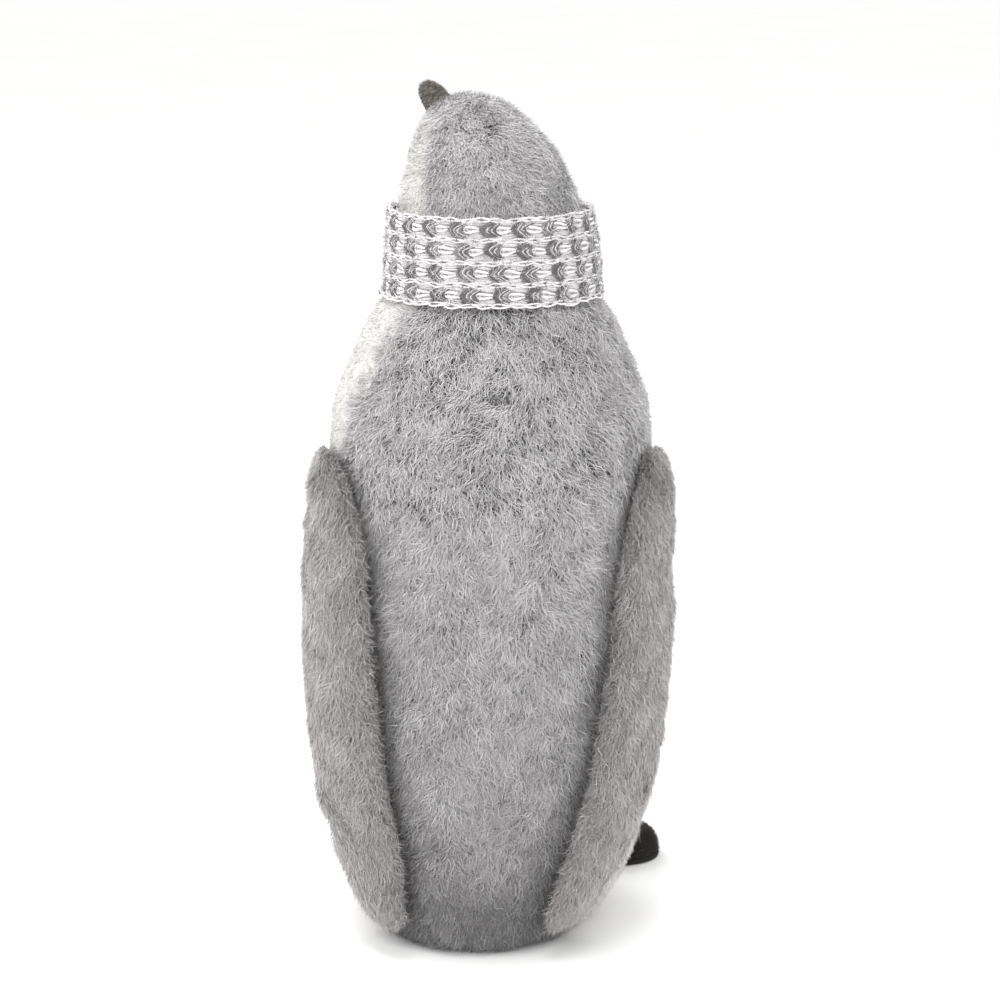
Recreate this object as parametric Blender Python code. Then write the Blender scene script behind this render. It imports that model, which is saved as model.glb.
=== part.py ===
"""Standing plush penguin with a knitted scarf, looking up over its left shoulder.

Frame: metres, +Z up. The penguin faces -Y and its left side is +X. The origin is the
middle of the flat underside. Angles round the body run from +X towards the back (+Y).
Every fabric panel is a solid as thick as its backing and pile together.
"""

import math

import bmesh
import bpy
from mathutils import Matrix, Vector

MM = 0.001
GAP = 0.3 * MM

# Body and neck: height, half width, depth to the back, depth to the front, shift to the
# left (mm), then where the side seams lie, in degrees behind the left and the right side.
BODY_STATIONS = [
    (0, 56, 67, 54, 5, 42, 46),
    (5, 62, 73, 61, 5, 42, 46),
    (14, 67.5, 76, 66, 4, 42, 46),
    (30, 73.5, 78, 70, 2, 41, 45),
    (60, 78.5, 79, 73, 0, 37, 40),
    (100, 81.5, 80, 75, 0, 31, 33),
    (140, 81.5, 79, 75, -0.5, 26, 24),
    (180, 79, 77, 73, -0.5, 23, 15),
    (210, 78.5, 73, 71, -0.7, 22, 8),
    (232, 77.5, 69, 69, 0.3, 25, 2),
    (252, 75.5, 64, 66, 0.3, 31, -3),
    (271, 68.5, 59, 61, 0, 37, -8),
    (288, 61, 54, 56, 0, 42, -13),
    (300, 54, 50, 52, 0, 45, -17),
    (307, 48, 45.5, 47, -1, 46, -20),
    (325, 45.5, 43.5, 45, -1, 48, -26),
    (343, 43, 41.5, 42.5, 0, 49, -31),
]

# Head: a dome round HEAD_CENTRE whose top turns from straight up towards the beak.
HEAD_CENTRE = Vector((2.8, -3, 358)) * MM
BEAK_DIRECTION = Vector((0.5, -0.45, 0.74)).normalized()
# Each ring of the dome: distance along its own axis, radius (mm), share of the full tilt,
# shift to the left (mm), and the left side seam in degrees behind the side.
HEAD_STATIONS = [
    (-6, 41, 0.17, 0.3, 49),
    (5, 37.4, 0.37, 2.0, 49),
    (15, 32.2, 0.59, 2.2, 55),
    (25.2, 26.6, 0.77, 1.2, 61),
    (33.5, 19.5, 0.89, 0.4, 63),
    (39, 12.5, 0.96, 0, 60),
    (41.2, 8.0, 1.0, 0, 55),
]
HEAD_RIGHT_SEAM = -35

PANEL_THICKNESS = 4 * MM
BACK_SEGMENTS = 18
FRONT_SEGMENTS = 18

BASE_PANEL_THICKNESS = 2 * MM
BASE_PANEL_MARGIN = 3.5 * MM
BASE_BOARD_THICKNESS = 2.5 * MM
BASE_BOARD_MARGIN = 5 * MM
WEIGHT_BAG_RADIUS = 34 * MM
WEIGHT_BAG_HEIGHT = 24 * MM
FILLING_TAPER = 0.93
# Profile of the bag: share of its radius, share of its height.
WEIGHT_BAG_PROFILE = [(0.84, 0), (1.0, 0.25), (1.0, 0.6), (0.86, 0.88), (0.5, 1.0)]
WEIGHT_BAG_SEGMENTS = 24
WEIGHT_POCKET_RADIUS = 31 * MM
WEIGHT_POCKET_DROP = 2 * MM

BEAK_LENGTH = 16 * MM
BEAK_RADIUS = 6.2 * MM
BEAK_DROOP = 1.5 * MM
BEAK_FLATNESS = 0.92
BEAK_SEGMENTS = 20
# Profile of the beak: share of its radius, and share of its length (below 0 it is sewn in).
BEAK_PROFILE = [(0.94, -0.18), (1.0, 0), (0.93, 0.3), (0.8, 0.6), (0.62, 0.84), (0.3, 1.0)]

EYE_RADIUS = 4.5 * MM
EYE_HEIGHT = 2.4 * MM
EYE_SEAT = 1.0 * MM
EYE_SHANK_RADIUS = 1.6 * MM
EYE_SHANK_LENGTH = 9 * MM
EYE_FROM_BEAK = math.radians(36)
EYE_BELOW_SIDE = math.radians(60)
EYE_HOLE_RADIUS = 2.1 * MM
EYE_HOLE_DEPTH = 7 * MM
EYE_HOLE_RISE = 3 * MM
EYE_SEGMENTS = 16
EYE_DOME_STEPS = 5
WASHER_RADIUS = 6 * MM
WASHER_THICKNESS = 1.2 * MM
WASHER_DEPTH = 6.0 * MM

# Wings: height (mm), front edge and back edge in degrees behind the side, then the shares
# of the full wadding and of the full fabric thickness.
WING_STATIONS = [
    (231, 9, 26, 0.0, 0.5),
    (222, 2, 36, 0.3, 0.6),
    (205, 1, 46, 0.7, 0.8),
    (180, 8, 52, 1.0, 0.9),
    (140, 14, 56, 1.0, 1.0),
    (100, 20, 60, 1.0, 1.0),
    (70, 27, 63, 0.9, 1.0),
    (45, 36, 66, 0.7, 1.0),
    (25, 46, 66, 0.4, 1.0),
    (13, 52, 62, 0.0, 0.9),
]
WING_COLUMNS = 7
WING_LINING = 2.2 * MM
WING_WADDING = 3.4 * MM
WING_FUR = 5 * MM
WING_CLEARANCE = 0.8 * MM
WING_TRAILING_CLEARANCE = 3.0 * MM
WING_STAND_OFF = {"left": 3.0 * MM, "right": 0.5 * MM}
WING_HANG = {"left": -4.0, "right": 4.0}
WING_HINGE_HEIGHT = 232.5 * MM
WING_HINGE_X = 82 * MM
WING_HINGE_Y = 22 * MM

FOOT_HEEL = {"left": Vector((52, -46.5, 0)) * MM, "right": Vector((-47.5, -45, 0)) * MM}
FOOT_SPLAY = {"left": math.radians(26), "right": math.radians(52)}
FOOT_HEEL_RADIUS = 11 * MM
FOOT_TOE_RADIUS = 18.5 * MM
FOOT_TOE_DISTANCE = 27 * MM
FOOT_HINGE_HEIGHT = 1 * MM
FOOT_NOTCH_MARGIN = 2.5 * MM
FOOT_NOTCH_HEIGHT = 15 * MM
FOOT_SOLE = 2 * MM
FOOT_FABRIC = 2.5 * MM
# Rings of the foot's upper: height above the sole's seam, inset of the outline (mm).
FOOT_RINGS = [(0, 0), (4.2, 0), (7.6, 1), (10.6, 3), (12.4, 6)]
FOOT_HEEL_SHARE = 0.4
FOOT_SLOPE_LENGTH = 22 * MM
FOOT_TOE_STEPS = 12
FOOT_HEEL_STEPS = 7

SCARF_BOTTOM = 304.5 * MM
SCARF_TOP = 343 * MM
SCARF_ROWS = 5
SCARF_SEGMENTS = 36
SCARF_CLEARANCE = 0.8 * MM
SCARF_THICKNESS = 4.4 * MM
SCARF_KNOT_ANGLE = -64
SCARF_KNOT_HALF_SIZE = (14 * MM, 8 * MM, 21 * MM)
# The two hanging ends: height (mm), middle of each end in degrees from the knot.
SCARF_END_STATIONS = {
    "left": [(320, 6), (300, 8), (280, 11), (260, 14), (237, 17)],
    "right": [(320, -6), (300, -9), (280, -13), (264, -16), (250, -18)],
}
SCARF_END_HALF_WIDTH = 15 * MM
SCARF_END_OVERLAP = 1.2 * MM


def clear_scene():
    for item in list(bpy.data.objects):
        bpy.data.objects.remove(item, do_unlink=True)


def make_material(name, colour, roughness, metallic=0.0):
    material = bpy.data.materials.new(name)
    material.use_nodes = True
    shader = material.node_tree.nodes["Principled BSDF"]
    shader.inputs["Base Color"].default_value = (*colour, 1.0)
    shader.inputs["Roughness"].default_value = roughness
    shader.inputs["Metallic"].default_value = metallic
    return material


def make_object(name, mesh_data, material, pivot=None):
    """Turn a bmesh in world space into an object whose origin is at the pivot."""
    pivot = pivot or Vector()
    bmesh.ops.translate(mesh_data, verts=mesh_data.verts, vec=-pivot)
    bmesh.ops.recalc_face_normals(mesh_data, faces=mesh_data.faces)
    mesh = bpy.data.meshes.new(name)
    mesh_data.to_mesh(mesh)
    mesh_data.free()
    mesh.materials.append(material)
    mesh.shade_smooth()
    mesh.set_sharp_from_angle(angle=math.radians(40))
    item = bpy.data.objects.new(name, mesh)
    item.location = pivot
    bpy.context.scene.collection.objects.link(item)
    return item


def interpolate(stations, height, column):
    """Value in one column of a table of heights in mm, straight between its rows."""
    rows = sorted(stations)
    height = min(max(height / MM, rows[0][0]), rows[-1][0])
    for low, high in zip(rows, rows[1:]):
        if height <= high[0]:
            share = (height - low[0]) / (high[0] - low[0])
            return low[column] + share * (high[column] - low[column])
    return rows[-1][column]


# ---------------------------------------------------------------- body surface


class Ring:
    """One closed cross-section of the body, egg-shaped front to back."""

    def __init__(self, centre, tilt, half_width, back, front, left_seam, right_seam):
        self.centre = centre
        self.tilt = tilt
        self.half_width = half_width
        self.back = back
        self.front = front
        self.left_seam = math.radians(left_seam)
        self.right_seam = math.pi - math.radians(right_seam)

    def point(self, angle):
        depth = self.back if math.sin(angle) > 0 else self.front
        flat = Vector((self.half_width * math.cos(angle), depth * math.sin(angle), 0))
        return self.centre + self.tilt @ flat

    def seam_gap(self):
        return 0.5 * GAP / self.half_width


def body_ring(height):
    """Level ring at any height up to the top of the neck."""
    width, back, front, shift, left, right = (
        interpolate(BODY_STATIONS, height, column) for column in range(1, 7)
    )
    centre = Vector((shift * MM, 0, height))
    return Ring(centre, Matrix.Identity(3), width * MM, back * MM, front * MM, left, right)


def head_ring(distance, radius, tilt_share, shift, left_seam):
    full_tilt = BEAK_DIRECTION.angle(Vector((0, 0, 1)))
    hinge = Vector((0, 0, 1)).cross(BEAK_DIRECTION)
    tilt = Matrix.Rotation(full_tilt * tilt_share, 3, hinge)
    centre = HEAD_CENTRE + tilt @ Vector((shift * MM, 0, distance * MM))
    size = radius * MM
    return Ring(centre, tilt, size, size, size, left_seam, HEAD_RIGHT_SEAM)


def all_rings():
    rings = [body_ring(station[0] * MM) for station in BODY_STATIONS]
    return rings + [head_ring(*station) for station in HEAD_STATIONS]


def surface_normal(rings, index, angle):
    step = 0.01
    around = rings[index].point(angle + step) - rings[index].point(angle - step)
    above = rings[min(index + 1, len(rings) - 1)].point(angle)
    below = rings[max(index - 1, 0)].point(angle)
    return around.cross(above - below).normalized()


def inset_point(rings, index, angle, depth):
    return rings[index].point(angle) - depth * surface_normal(rings, index, angle)


def back_angles(ring, gap):
    first, last = ring.left_seam + gap, ring.right_seam - gap
    return [first + (last - first) * i / BACK_SEGMENTS for i in range(BACK_SEGMENTS + 1)]


def front_angles(ring, gap):
    first, last = ring.right_seam + gap, ring.left_seam + math.tau - gap
    return [first + (last - first) * i / FRONT_SEGMENTS for i in range(FRONT_SEGMENTS + 1)]


# ---------------------------------------------------------------- mesh helpers


def add_grid(mesh_data, points):
    return [[mesh_data.verts.new(point) for point in row] for row in points]


def skin_grid(mesh_data, grid, closed=False):
    columns = len(grid[0])
    for low, high in zip(grid, grid[1:]):
        for i in range(columns if closed else columns - 1):
            j = (i + 1) % columns
            mesh_data.faces.new((low[i], low[j], high[j], high[i]))


def join_rims(mesh_data, outer, inner, closed=False):
    """Faces between the borders of two grids of the same size."""
    bottom = list(zip(outer[0], inner[0]))
    top = list(zip(outer[-1], inner[-1]))
    rims = [bottom, top]
    if closed:
        bottom.append(bottom[0])
        top.append(top[0])
    else:
        rims.append([(a[0], b[0]) for a, b in zip(outer, inner)])
        rims.append([(a[-1], b[-1]) for a, b in zip(outer, inner)])
    for rim in rims:
        for (a, b), (c, d) in zip(rim, rim[1:]):
            mesh_data.faces.new((a, c, d, b))


def shell(outer_points, inner_points, closed=False):
    """A sheet with thickness: an outer grid, an inner grid and the rims between them."""
    mesh_data = bmesh.new()
    outer = add_grid(mesh_data, outer_points)
    inner = add_grid(mesh_data, inner_points)
    skin_grid(mesh_data, outer, closed)
    skin_grid(mesh_data, inner, closed)
    join_rims(mesh_data, outer, inner, closed)
    return mesh_data


def loft(points):
    """A solid through closed rings, with a flat cap on each end."""
    mesh_data = bmesh.new()
    grid = add_grid(mesh_data, points)
    skin_grid(mesh_data, grid, closed=True)
    mesh_data.faces.new(grid[0])
    mesh_data.faces.new(grid[-1])
    return mesh_data


def circle(radius, segments, height=0.0):
    return [
        Vector((radius * math.cos(a), radius * math.sin(a), height))
        for a in (math.tau * i / segments for i in range(segments))
    ]


def turned(profile, segments, placement):
    """A solid of revolution from (radius, height) pairs, moved by a matrix."""
    rows = [[placement @ p for p in circle(r, segments, h)] for r, h in profile]
    return loft(rows)


def placement_along(origin, direction):
    return Matrix.Translation(origin) @ direction.to_track_quat("Z", "Y").to_matrix().to_4x4()


def add_cutter(name, mesh_data, targets):
    mesh = bpy.data.meshes.new(name)
    bmesh.ops.recalc_face_normals(mesh_data, faces=mesh_data.faces)
    mesh_data.to_mesh(mesh)
    mesh_data.free()
    cutter = bpy.data.objects.new(name, mesh)
    cutter.hide_render = True
    cutter.display_type = "WIRE"
    bpy.context.scene.collection.objects.link(cutter)
    for target in targets:
        add_boolean(target, cutter, "DIFFERENCE")


def add_boolean(target, tool, operation):
    modifier = target.modifiers.new(tool.name, "BOOLEAN")
    modifier.operation = operation
    modifier.solver = "EXACT"
    modifier.object = tool


# ---------------------------------------------------------------- body pieces


def make_panels(rings, materials):
    """Grey back panel and white front panel, sewn to each other along both sides."""
    for name, angles_of, material in (
        ("back_panel", back_angles, materials["grey_fur"]),
        ("front_panel", front_angles, materials["white_plush"]),
    ):
        outer, inner = [], []
        for i, ring in enumerate(rings):
            angles = angles_of(ring, ring.seam_gap())
            outer.append([ring.point(a) for a in angles])
            inner.append([inset_point(rings, i, a, PANEL_THICKNESS) for a in angles])
        make_object(name, shell(outer, inner), material)


def flat_piece(bottom, thickness, margin):
    """A flat piece that fits inside the bottom edge of the panels."""
    ring = body_ring(0)
    ring.half_width -= margin
    ring.back -= margin
    ring.front -= margin
    rows = []
    for height in (bottom, bottom + thickness):
        ring.centre.z = height
        rows.append([ring.point(math.tau * i / 36) for i in range(36)])
    return loft(rows)


def make_underside(materials):
    panel = flat_piece(0, BASE_PANEL_THICKNESS, BASE_PANEL_MARGIN)
    make_object("base_panel", panel, materials["base_felt"])
    board_bottom = BASE_PANEL_THICKNESS + GAP
    board = flat_piece(board_bottom, BASE_BOARD_THICKNESS, BASE_BOARD_MARGIN)
    make_object("base_board", board, materials["board"])
    return board_bottom + BASE_BOARD_THICKNESS + GAP


def weight_bag_profile(bottom, grow):
    rise = (WEIGHT_BAG_HEIGHT + grow) / WEIGHT_BAG_HEIGHT
    return [
        ((WEIGHT_BAG_RADIUS + grow) * share, bottom + rise * up * WEIGHT_BAG_HEIGHT)
        for share, up in WEIGHT_BAG_PROFILE
    ]


def make_filling(rings, bottom, materials):
    """One mass of fibre from the board up into the head, hollow over the weight bag."""
    depth = PANEL_THICKNESS + GAP
    rows = []
    for i, ring in enumerate(rings):
        angles = back_angles(ring, 0)[:-1] + front_angles(ring, 0)[:-1]
        row = [inset_point(rings, i, a, depth) for a in angles]
        if min(point.z for point in row) > bottom + 2 * MM:
            rows.append(row)
    floor = [Vector((FILLING_TAPER * p.x, FILLING_TAPER * p.y, bottom)) for p in rows[0]]
    filling = make_object("stuffing", loft([floor] + rows), materials["fibre"])
    bag = turned(weight_bag_profile(bottom, 0), WEIGHT_BAG_SEGMENTS, Matrix.Identity(4))
    make_object("weight_bag", bag, materials["bag_cloth"])
    pocket_profile = [(WEIGHT_POCKET_RADIUS, bottom - WEIGHT_POCKET_DROP)]
    pocket_profile += weight_bag_profile(bottom, 2 * GAP)
    pocket = turned(pocket_profile, WEIGHT_BAG_SEGMENTS, Matrix.Identity(4))
    add_cutter("weight_bag_pocket", pocket, [filling])


# ---------------------------------------------------------------- head pieces


def head_axes():
    """Unit vectors of the head: to its left side and to its crown."""
    left = Vector((0, 0, 1)).cross(BEAK_DIRECTION).normalized()
    crown = BEAK_DIRECTION.cross(left)
    return left, crown


def make_beak(rings, materials):
    """Two felt halves that meet along the mouth, seated in the gap at the dome's top."""
    left, crown = head_axes()
    base = rings[-1].centre
    frame = Matrix((left, crown, BEAK_DIRECTION)).transposed().to_4x4()
    placement = Matrix.Translation(base) @ frame
    for name, sign in (("upper_beak", 1), ("lower_beak", -1)):
        rows = []
        for share, along in BEAK_PROFILE:
            radius = share * BEAK_RADIUS
            droop = BEAK_DROOP * max(along, 0) ** 2
            row = []
            for i in range(BEAK_SEGMENTS // 2 + 1):
                a = math.pi * i / (BEAK_SEGMENTS // 2)
                rise = sign * (0.5 * GAP + BEAK_FLATNESS * radius * math.sin(a)) - droop
                row.append(placement @ Vector((radius * math.cos(a), rise, along * BEAK_LENGTH)))
            rows.append(row)
        make_object(name, loft(rows), materials["beak_felt"])


def make_eyes(rings, materials):
    """Domed eyes whose shanks pass through the face and are held by washers inside."""
    left, crown = head_axes()
    panel = bpy.data.objects["front_panel"]
    filling = bpy.data.objects["stuffing"]
    for side, sign in (("left", 1), ("right", -1)):
        across = math.cos(EYE_BELOW_SIDE) * sign * left - math.sin(EYE_BELOW_SIDE) * crown
        outward = math.cos(EYE_FROM_BEAK) * BEAK_DIRECTION + math.sin(EYE_FROM_BEAK) * across
        seat = HEAD_CENTRE + outward * head_radius_towards(rings, outward)
        placement = placement_along(seat, outward)
        profile = [(EYE_SHANK_RADIUS, -EYE_SHANK_LENGTH), (EYE_SHANK_RADIUS, EYE_SEAT)]
        for i in range(EYE_DOME_STEPS):
            turn = 0.5 * math.pi * i / EYE_DOME_STEPS
            profile.append((EYE_RADIUS * math.cos(turn), EYE_SEAT + EYE_HEIGHT * math.sin(turn)))
        eye = turned(profile, EYE_SEGMENTS, placement)
        make_object(side + "_eye", eye, materials["eye_plastic"])
        make_washer(side, placement, materials)
        hole_profile = [(EYE_HOLE_RADIUS, -EYE_HOLE_DEPTH), (EYE_HOLE_RADIUS, EYE_HOLE_RISE)]
        hole = turned(hole_profile, EYE_SEGMENTS, placement)
        add_cutter(side + "_eye_hole", hole, [panel])
        pocket_radius = WASHER_RADIUS + 2 * GAP
        pocket_profile = [(pocket_radius, -EYE_SHANK_LENGTH - MM), (pocket_radius, -MM)]
        pocket = turned(pocket_profile, EYE_SEGMENTS, placement)
        add_cutter(side + "_eye_pocket", pocket, [filling])


def head_radius_towards(rings, direction):
    """Distance from the head's centre to its surface, from the ring nearest to a direction."""
    best, reach = -1.0, 0.0
    for ring in rings[-len(HEAD_STATIONS) :]:
        for i in range(72):
            point = ring.point(math.tau * i / 72) - HEAD_CENTRE
            match = point.normalized().dot(direction)
            if match > best:
                best, reach = match, point.length
    return reach


def make_washer(side, placement, materials):
    hole = EYE_SHANK_RADIUS + GAP
    top, bottom = -WASHER_DEPTH, -WASHER_DEPTH - WASHER_THICKNESS
    outer = [[placement @ p for p in circle(WASHER_RADIUS, 20, h)] for h in (bottom, top)]
    inner = [[placement @ p for p in circle(hole, 20, h)] for h in (bottom, top)]
    make_object(side + "_eye_washer", shell(outer, inner, closed=True), materials["washer_plastic"])


# ---------------------------------------------------------------- pieces that lie on the body


def offset_point(height, angle, offset):
    """Point above the body's surface, moved out level with the ground."""
    ring = body_ring(height)
    depth = ring.back if math.sin(angle) > 0 else ring.front
    normal = Vector((math.cos(angle) / ring.half_width, math.sin(angle) / depth, 0))
    return ring.point(angle) + offset * normal.normalized()


def wing_layers(side):
    """Four grids of points, from the lining's inner face to the fur panel's outer face."""
    layers = [[], [], [], []]
    top, bottom = WING_STATIONS[0][0], WING_STATIONS[-1][0]
    for height, lead, trail, wadding, fabric in WING_STATIONS:
        down = (top - height) / (top - bottom)
        hang = WING_HANG[side] * down
        rows = [[], [], [], []]
        for i in range(WING_COLUMNS):
            across = i / (WING_COLUMNS - 1)
            angle = math.radians(lead + (trail - lead) * across + hang)
            if side == "right":
                angle = math.pi - angle
            lens = WING_WADDING * wadding * (1 - (2 * across - 1) ** 2)
            stand_off = WING_STAND_OFF[side] + WING_TRAILING_CLEARANCE * across
            lift = WING_CLEARANCE + stand_off * min(1.0, 4 * down)
            lining_top = lift + WING_LINING * fabric
            fur_bottom = lining_top + lens + 2 * GAP
            offsets = (lift, lining_top, fur_bottom, fur_bottom + WING_FUR * fabric)
            for row, offset in zip(rows, offsets):
                row.append(offset_point(height * MM, angle, offset))
        for layer, row in zip(layers, rows):
            layer.append(row)
    return layers


def inner_part(grid):
    return [row[1:-1] for row in grid[1:-1]]


def make_wing(side, materials):
    """Flipper of three layers, sewn into the side seam along its top edge."""
    sign = 1 if side == "left" else -1
    pivot = Vector((sign * WING_HINGE_X, WING_HINGE_Y, WING_HINGE_HEIGHT))
    lining_in, lining_out, fur_in, fur_out = wing_layers(side)
    make_object(side + "_wing_lining", shell(lining_out, lining_in), materials["lining"], pivot)
    make_object(side + "_wing_fur", shell(fur_out, fur_in), materials["grey_fur"], pivot)
    low, high = [], []
    for below, above in zip(inner_part(lining_out), inner_part(fur_in)):
        low.append([a + GAP * (b - a).normalized() for a, b in zip(below, above)])
        high.append([b - GAP * (b - a).normalized() for a, b in zip(below, above)])
    make_object(side + "_wing_wadding", shell(high, low), materials["fibre"], pivot)


def make_scarf(materials):
    """One knitted strip: a band round the neck, a knot in front and two hanging ends."""
    outer, inner = [], []
    for i in range(SCARF_ROWS):
        height = SCARF_BOTTOM + (SCARF_TOP - SCARF_BOTTOM) * i / (SCARF_ROWS - 1)
        angles = [math.tau * j / SCARF_SEGMENTS for j in range(SCARF_SEGMENTS)]
        inner.append([offset_point(height, a, SCARF_CLEARANCE) for a in angles])
        reach = SCARF_CLEARANCE + SCARF_THICKNESS
        outer.append([offset_point(height, a, reach) for a in angles])
    scarf = make_object("scarf", shell(outer, inner, closed=True), materials["knit"])
    for side in ("left", "right"):
        add_union(scarf, "scarf_" + side + "_end", scarf_end(side), materials)
    add_union(scarf, "scarf_knot", scarf_knot(), materials)


def scarf_end(side):
    outer, inner = [], []
    for height, turn in SCARF_END_STATIONS[side]:
        middle = math.radians(SCARF_KNOT_ANGLE + turn)
        half_turn = SCARF_END_HALF_WIDTH / body_ring(height * MM).half_width
        angles = [middle + half_turn * share for share in (-1, -0.33, 0.33, 1)]
        lift = SCARF_CLEARANCE + (SCARF_END_OVERLAP if side == "left" else 0)
        inner.append([offset_point(height * MM, a, lift) for a in angles])
        outer.append([offset_point(height * MM, a, lift + SCARF_THICKNESS) for a in angles])
    return shell(outer[::-1], inner[::-1])


def scarf_knot():
    angle = math.radians(SCARF_KNOT_ANGLE)
    height = 0.5 * (SCARF_TOP + SCARF_BOTTOM)
    depth = SCARF_KNOT_HALF_SIZE[1]
    centre = offset_point(height, angle, SCARF_CLEARANCE + depth + GAP)
    mesh_data = bmesh.new()
    bmesh.ops.create_uvsphere(mesh_data, u_segments=16, v_segments=10, radius=1)
    size = Matrix.Diagonal((*SCARF_KNOT_HALF_SIZE, 1))
    turn = Matrix.Rotation(angle + 0.5 * math.pi, 4, "Z")
    bmesh.ops.transform(
        mesh_data, verts=mesh_data.verts, matrix=Matrix.Translation(centre) @ turn @ size
    )
    return mesh_data


def add_union(target, name, mesh_data, materials):
    tool = make_object(name + "_shape", mesh_data, materials["knit"])
    tool.hide_render = True
    tool.display_type = "WIRE"
    add_boolean(target, tool, "UNION")


# ---------------------------------------------------------------- feet


def paddle(heel_radius, toe_radius):
    """Outline round a small heel circle and a large toe circle, in the foot's own plane."""
    lean = math.asin((toe_radius - heel_radius) / FOOT_TOE_DISTANCE)
    wrap = 0.5 * math.pi + lean
    outline = []
    for i in range(FOOT_TOE_STEPS + 1):
        a = -wrap + 2 * wrap * i / FOOT_TOE_STEPS
        outline.append((FOOT_TOE_DISTANCE + toe_radius * math.cos(a), toe_radius * math.sin(a)))
    for i in range(FOOT_HEEL_STEPS + 1):
        a = wrap + (math.tau - 2 * wrap) * i / FOOT_HEEL_STEPS
        outline.append((heel_radius * math.cos(a), heel_radius * math.sin(a)))
    return outline


def foot_rows(placement, inset, drop):
    """Rings of the foot's domed top, each moved in and down by a wall thickness."""
    rows = []
    reach = [x for x, _ in paddle(FOOT_HEEL_RADIUS, FOOT_TOE_RADIUS)]
    for height, ring_inset in FOOT_RINGS:
        shrink = ring_inset * MM + inset
        outline = paddle(FOOT_HEEL_RADIUS - shrink, FOOT_TOE_RADIUS - shrink)
        row = []
        for (x, y), forward in zip(outline, reach):
            share = min(max(forward / FOOT_SLOPE_LENGTH, 0.0), 1.0)
            rise = FOOT_HEEL_SHARE + (1 - FOOT_HEEL_SHARE) * share
            top = max(height * MM * rise - (drop if height else 0), 0)
            row.append(placement @ Vector((x, y, FOOT_SOLE + GAP + top)))
        rows.append(row)
    return rows


def cap_foot(mesh_data, ring):
    """Close a ring of the foot with strips across it, from the toe back to the heel."""
    count = len(ring)
    tip = FOOT_TOE_STEPS // 2
    pairs = [(ring[tip - k], ring[(tip + k) % count]) for k in range(1, count // 2 + 1)]
    mesh_data.faces.new((pairs[0][0], ring[tip], pairs[0][1]))
    for (a, b), (c, d) in zip(pairs, pairs[1:]):
        mesh_data.faces.new((c, a, b, d))


def cut_foot_notch(side, placement):
    """Room for the heel, and for its swing, under the lower edge of the body."""
    outline = paddle(FOOT_HEEL_RADIUS + FOOT_NOTCH_MARGIN, FOOT_TOE_RADIUS + FOOT_NOTCH_MARGIN)
    rows = [[placement @ Vector((x, y, h)) for x, y in outline] for h in (-MM, FOOT_NOTCH_HEIGHT)]
    targets = [bpy.data.objects["front_panel"], bpy.data.objects["stuffing"]]
    add_cutter(side + "_foot_notch", loft(rows), targets)


def make_foot(side, materials):
    """Stuffed foot on a felt sole, sewn to the body along the back of its heel."""
    sign = 1 if side == "left" else -1
    splay = FOOT_SPLAY[side]
    facing = math.atan2(-math.cos(splay), sign * math.sin(splay))
    placement = Matrix.Translation(FOOT_HEEL[side]) @ Matrix.Rotation(facing, 4, "Z")
    pivot = placement @ Vector((-FOOT_HEEL_RADIUS, 0, FOOT_HINGE_HEIGHT))
    cut_foot_notch(side, placement)
    outline = paddle(FOOT_HEEL_RADIUS, FOOT_TOE_RADIUS)
    sole = [[placement @ Vector((x, y, h)) for x, y in outline] for h in (0, FOOT_SOLE)]
    make_object(side + "_foot_sole", loft(sole), materials["sole_felt"], pivot)
    outer = foot_rows(placement, 0, 0)
    inner = foot_rows(placement, FOOT_FABRIC, 0.6 * FOOT_FABRIC)
    upper = bmesh.new()
    outer_grid = add_grid(upper, outer)
    inner_grid = add_grid(upper, inner)
    skin_grid(upper, outer_grid, closed=True)
    skin_grid(upper, inner_grid, closed=True)
    cap_foot(upper, outer_grid[-1])
    cap_foot(upper, inner_grid[-1])
    rim = list(zip(outer_grid[0], inner_grid[0]))
    for (a, b), (c, d) in zip(rim, rim[1:] + rim[:1]):
        upper.faces.new((a, c, d, b))
    make_object(side + "_foot_upper", upper, materials["black_plush"], pivot)
    filling = bmesh.new()
    grid = add_grid(filling, foot_rows(placement, FOOT_FABRIC + GAP, 0.6 * FOOT_FABRIC + GAP))
    skin_grid(filling, grid, closed=True)
    cap_foot(filling, grid[0])
    cap_foot(filling, grid[-1])
    make_object(side + "_foot_filling", filling, materials["fibre"], pivot)


def make_materials():
    return {
        "grey_fur": make_material("grey_fur", (0.38, 0.37, 0.38), 0.95),
        "white_plush": make_material("white_plush", (0.84, 0.83, 0.80), 0.95),
        "fibre": make_material("fibre", (0.88, 0.88, 0.88), 1.0),
        "base_felt": make_material("base_felt", (0.30, 0.30, 0.31), 0.95),
        "board": make_material("board", (0.45, 0.36, 0.25), 0.85),
        "bag_cloth": make_material("bag_cloth", (0.62, 0.60, 0.55), 0.9),
        "beak_felt": make_material("beak_felt", (0.12, 0.11, 0.10), 0.9),
        "eye_plastic": make_material("eye_plastic", (0.01, 0.01, 0.01), 0.12),
        "washer_plastic": make_material("washer_plastic", (0.75, 0.75, 0.75), 0.5),
        "lining": make_material("lining", (0.34, 0.33, 0.34), 0.95),
        "knit": make_material("knit", (0.60, 0.60, 0.60), 0.95),
        "black_plush": make_material("black_plush", (0.012, 0.010, 0.009), 0.9),
        "sole_felt": make_material("sole_felt", (0.02, 0.02, 0.02), 0.95),
    }


def main():
    clear_scene()
    materials = make_materials()
    rings = all_rings()
    make_panels(rings, materials)
    filling_bottom = make_underside(materials)
    make_filling(rings, filling_bottom, materials)
    make_beak(rings, materials)
    make_eyes(rings, materials)
    make_scarf(materials)
    for side in ("left", "right"):
        make_wing(side, materials)
        make_foot(side, materials)


main()
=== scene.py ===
"""Visual model of the standing plush penguin: fur, knit, felt and short plush over the CAD frame."""

import math

import bmesh
import bpy
import numpy as np
from mathutils import Matrix, Vector


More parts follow.
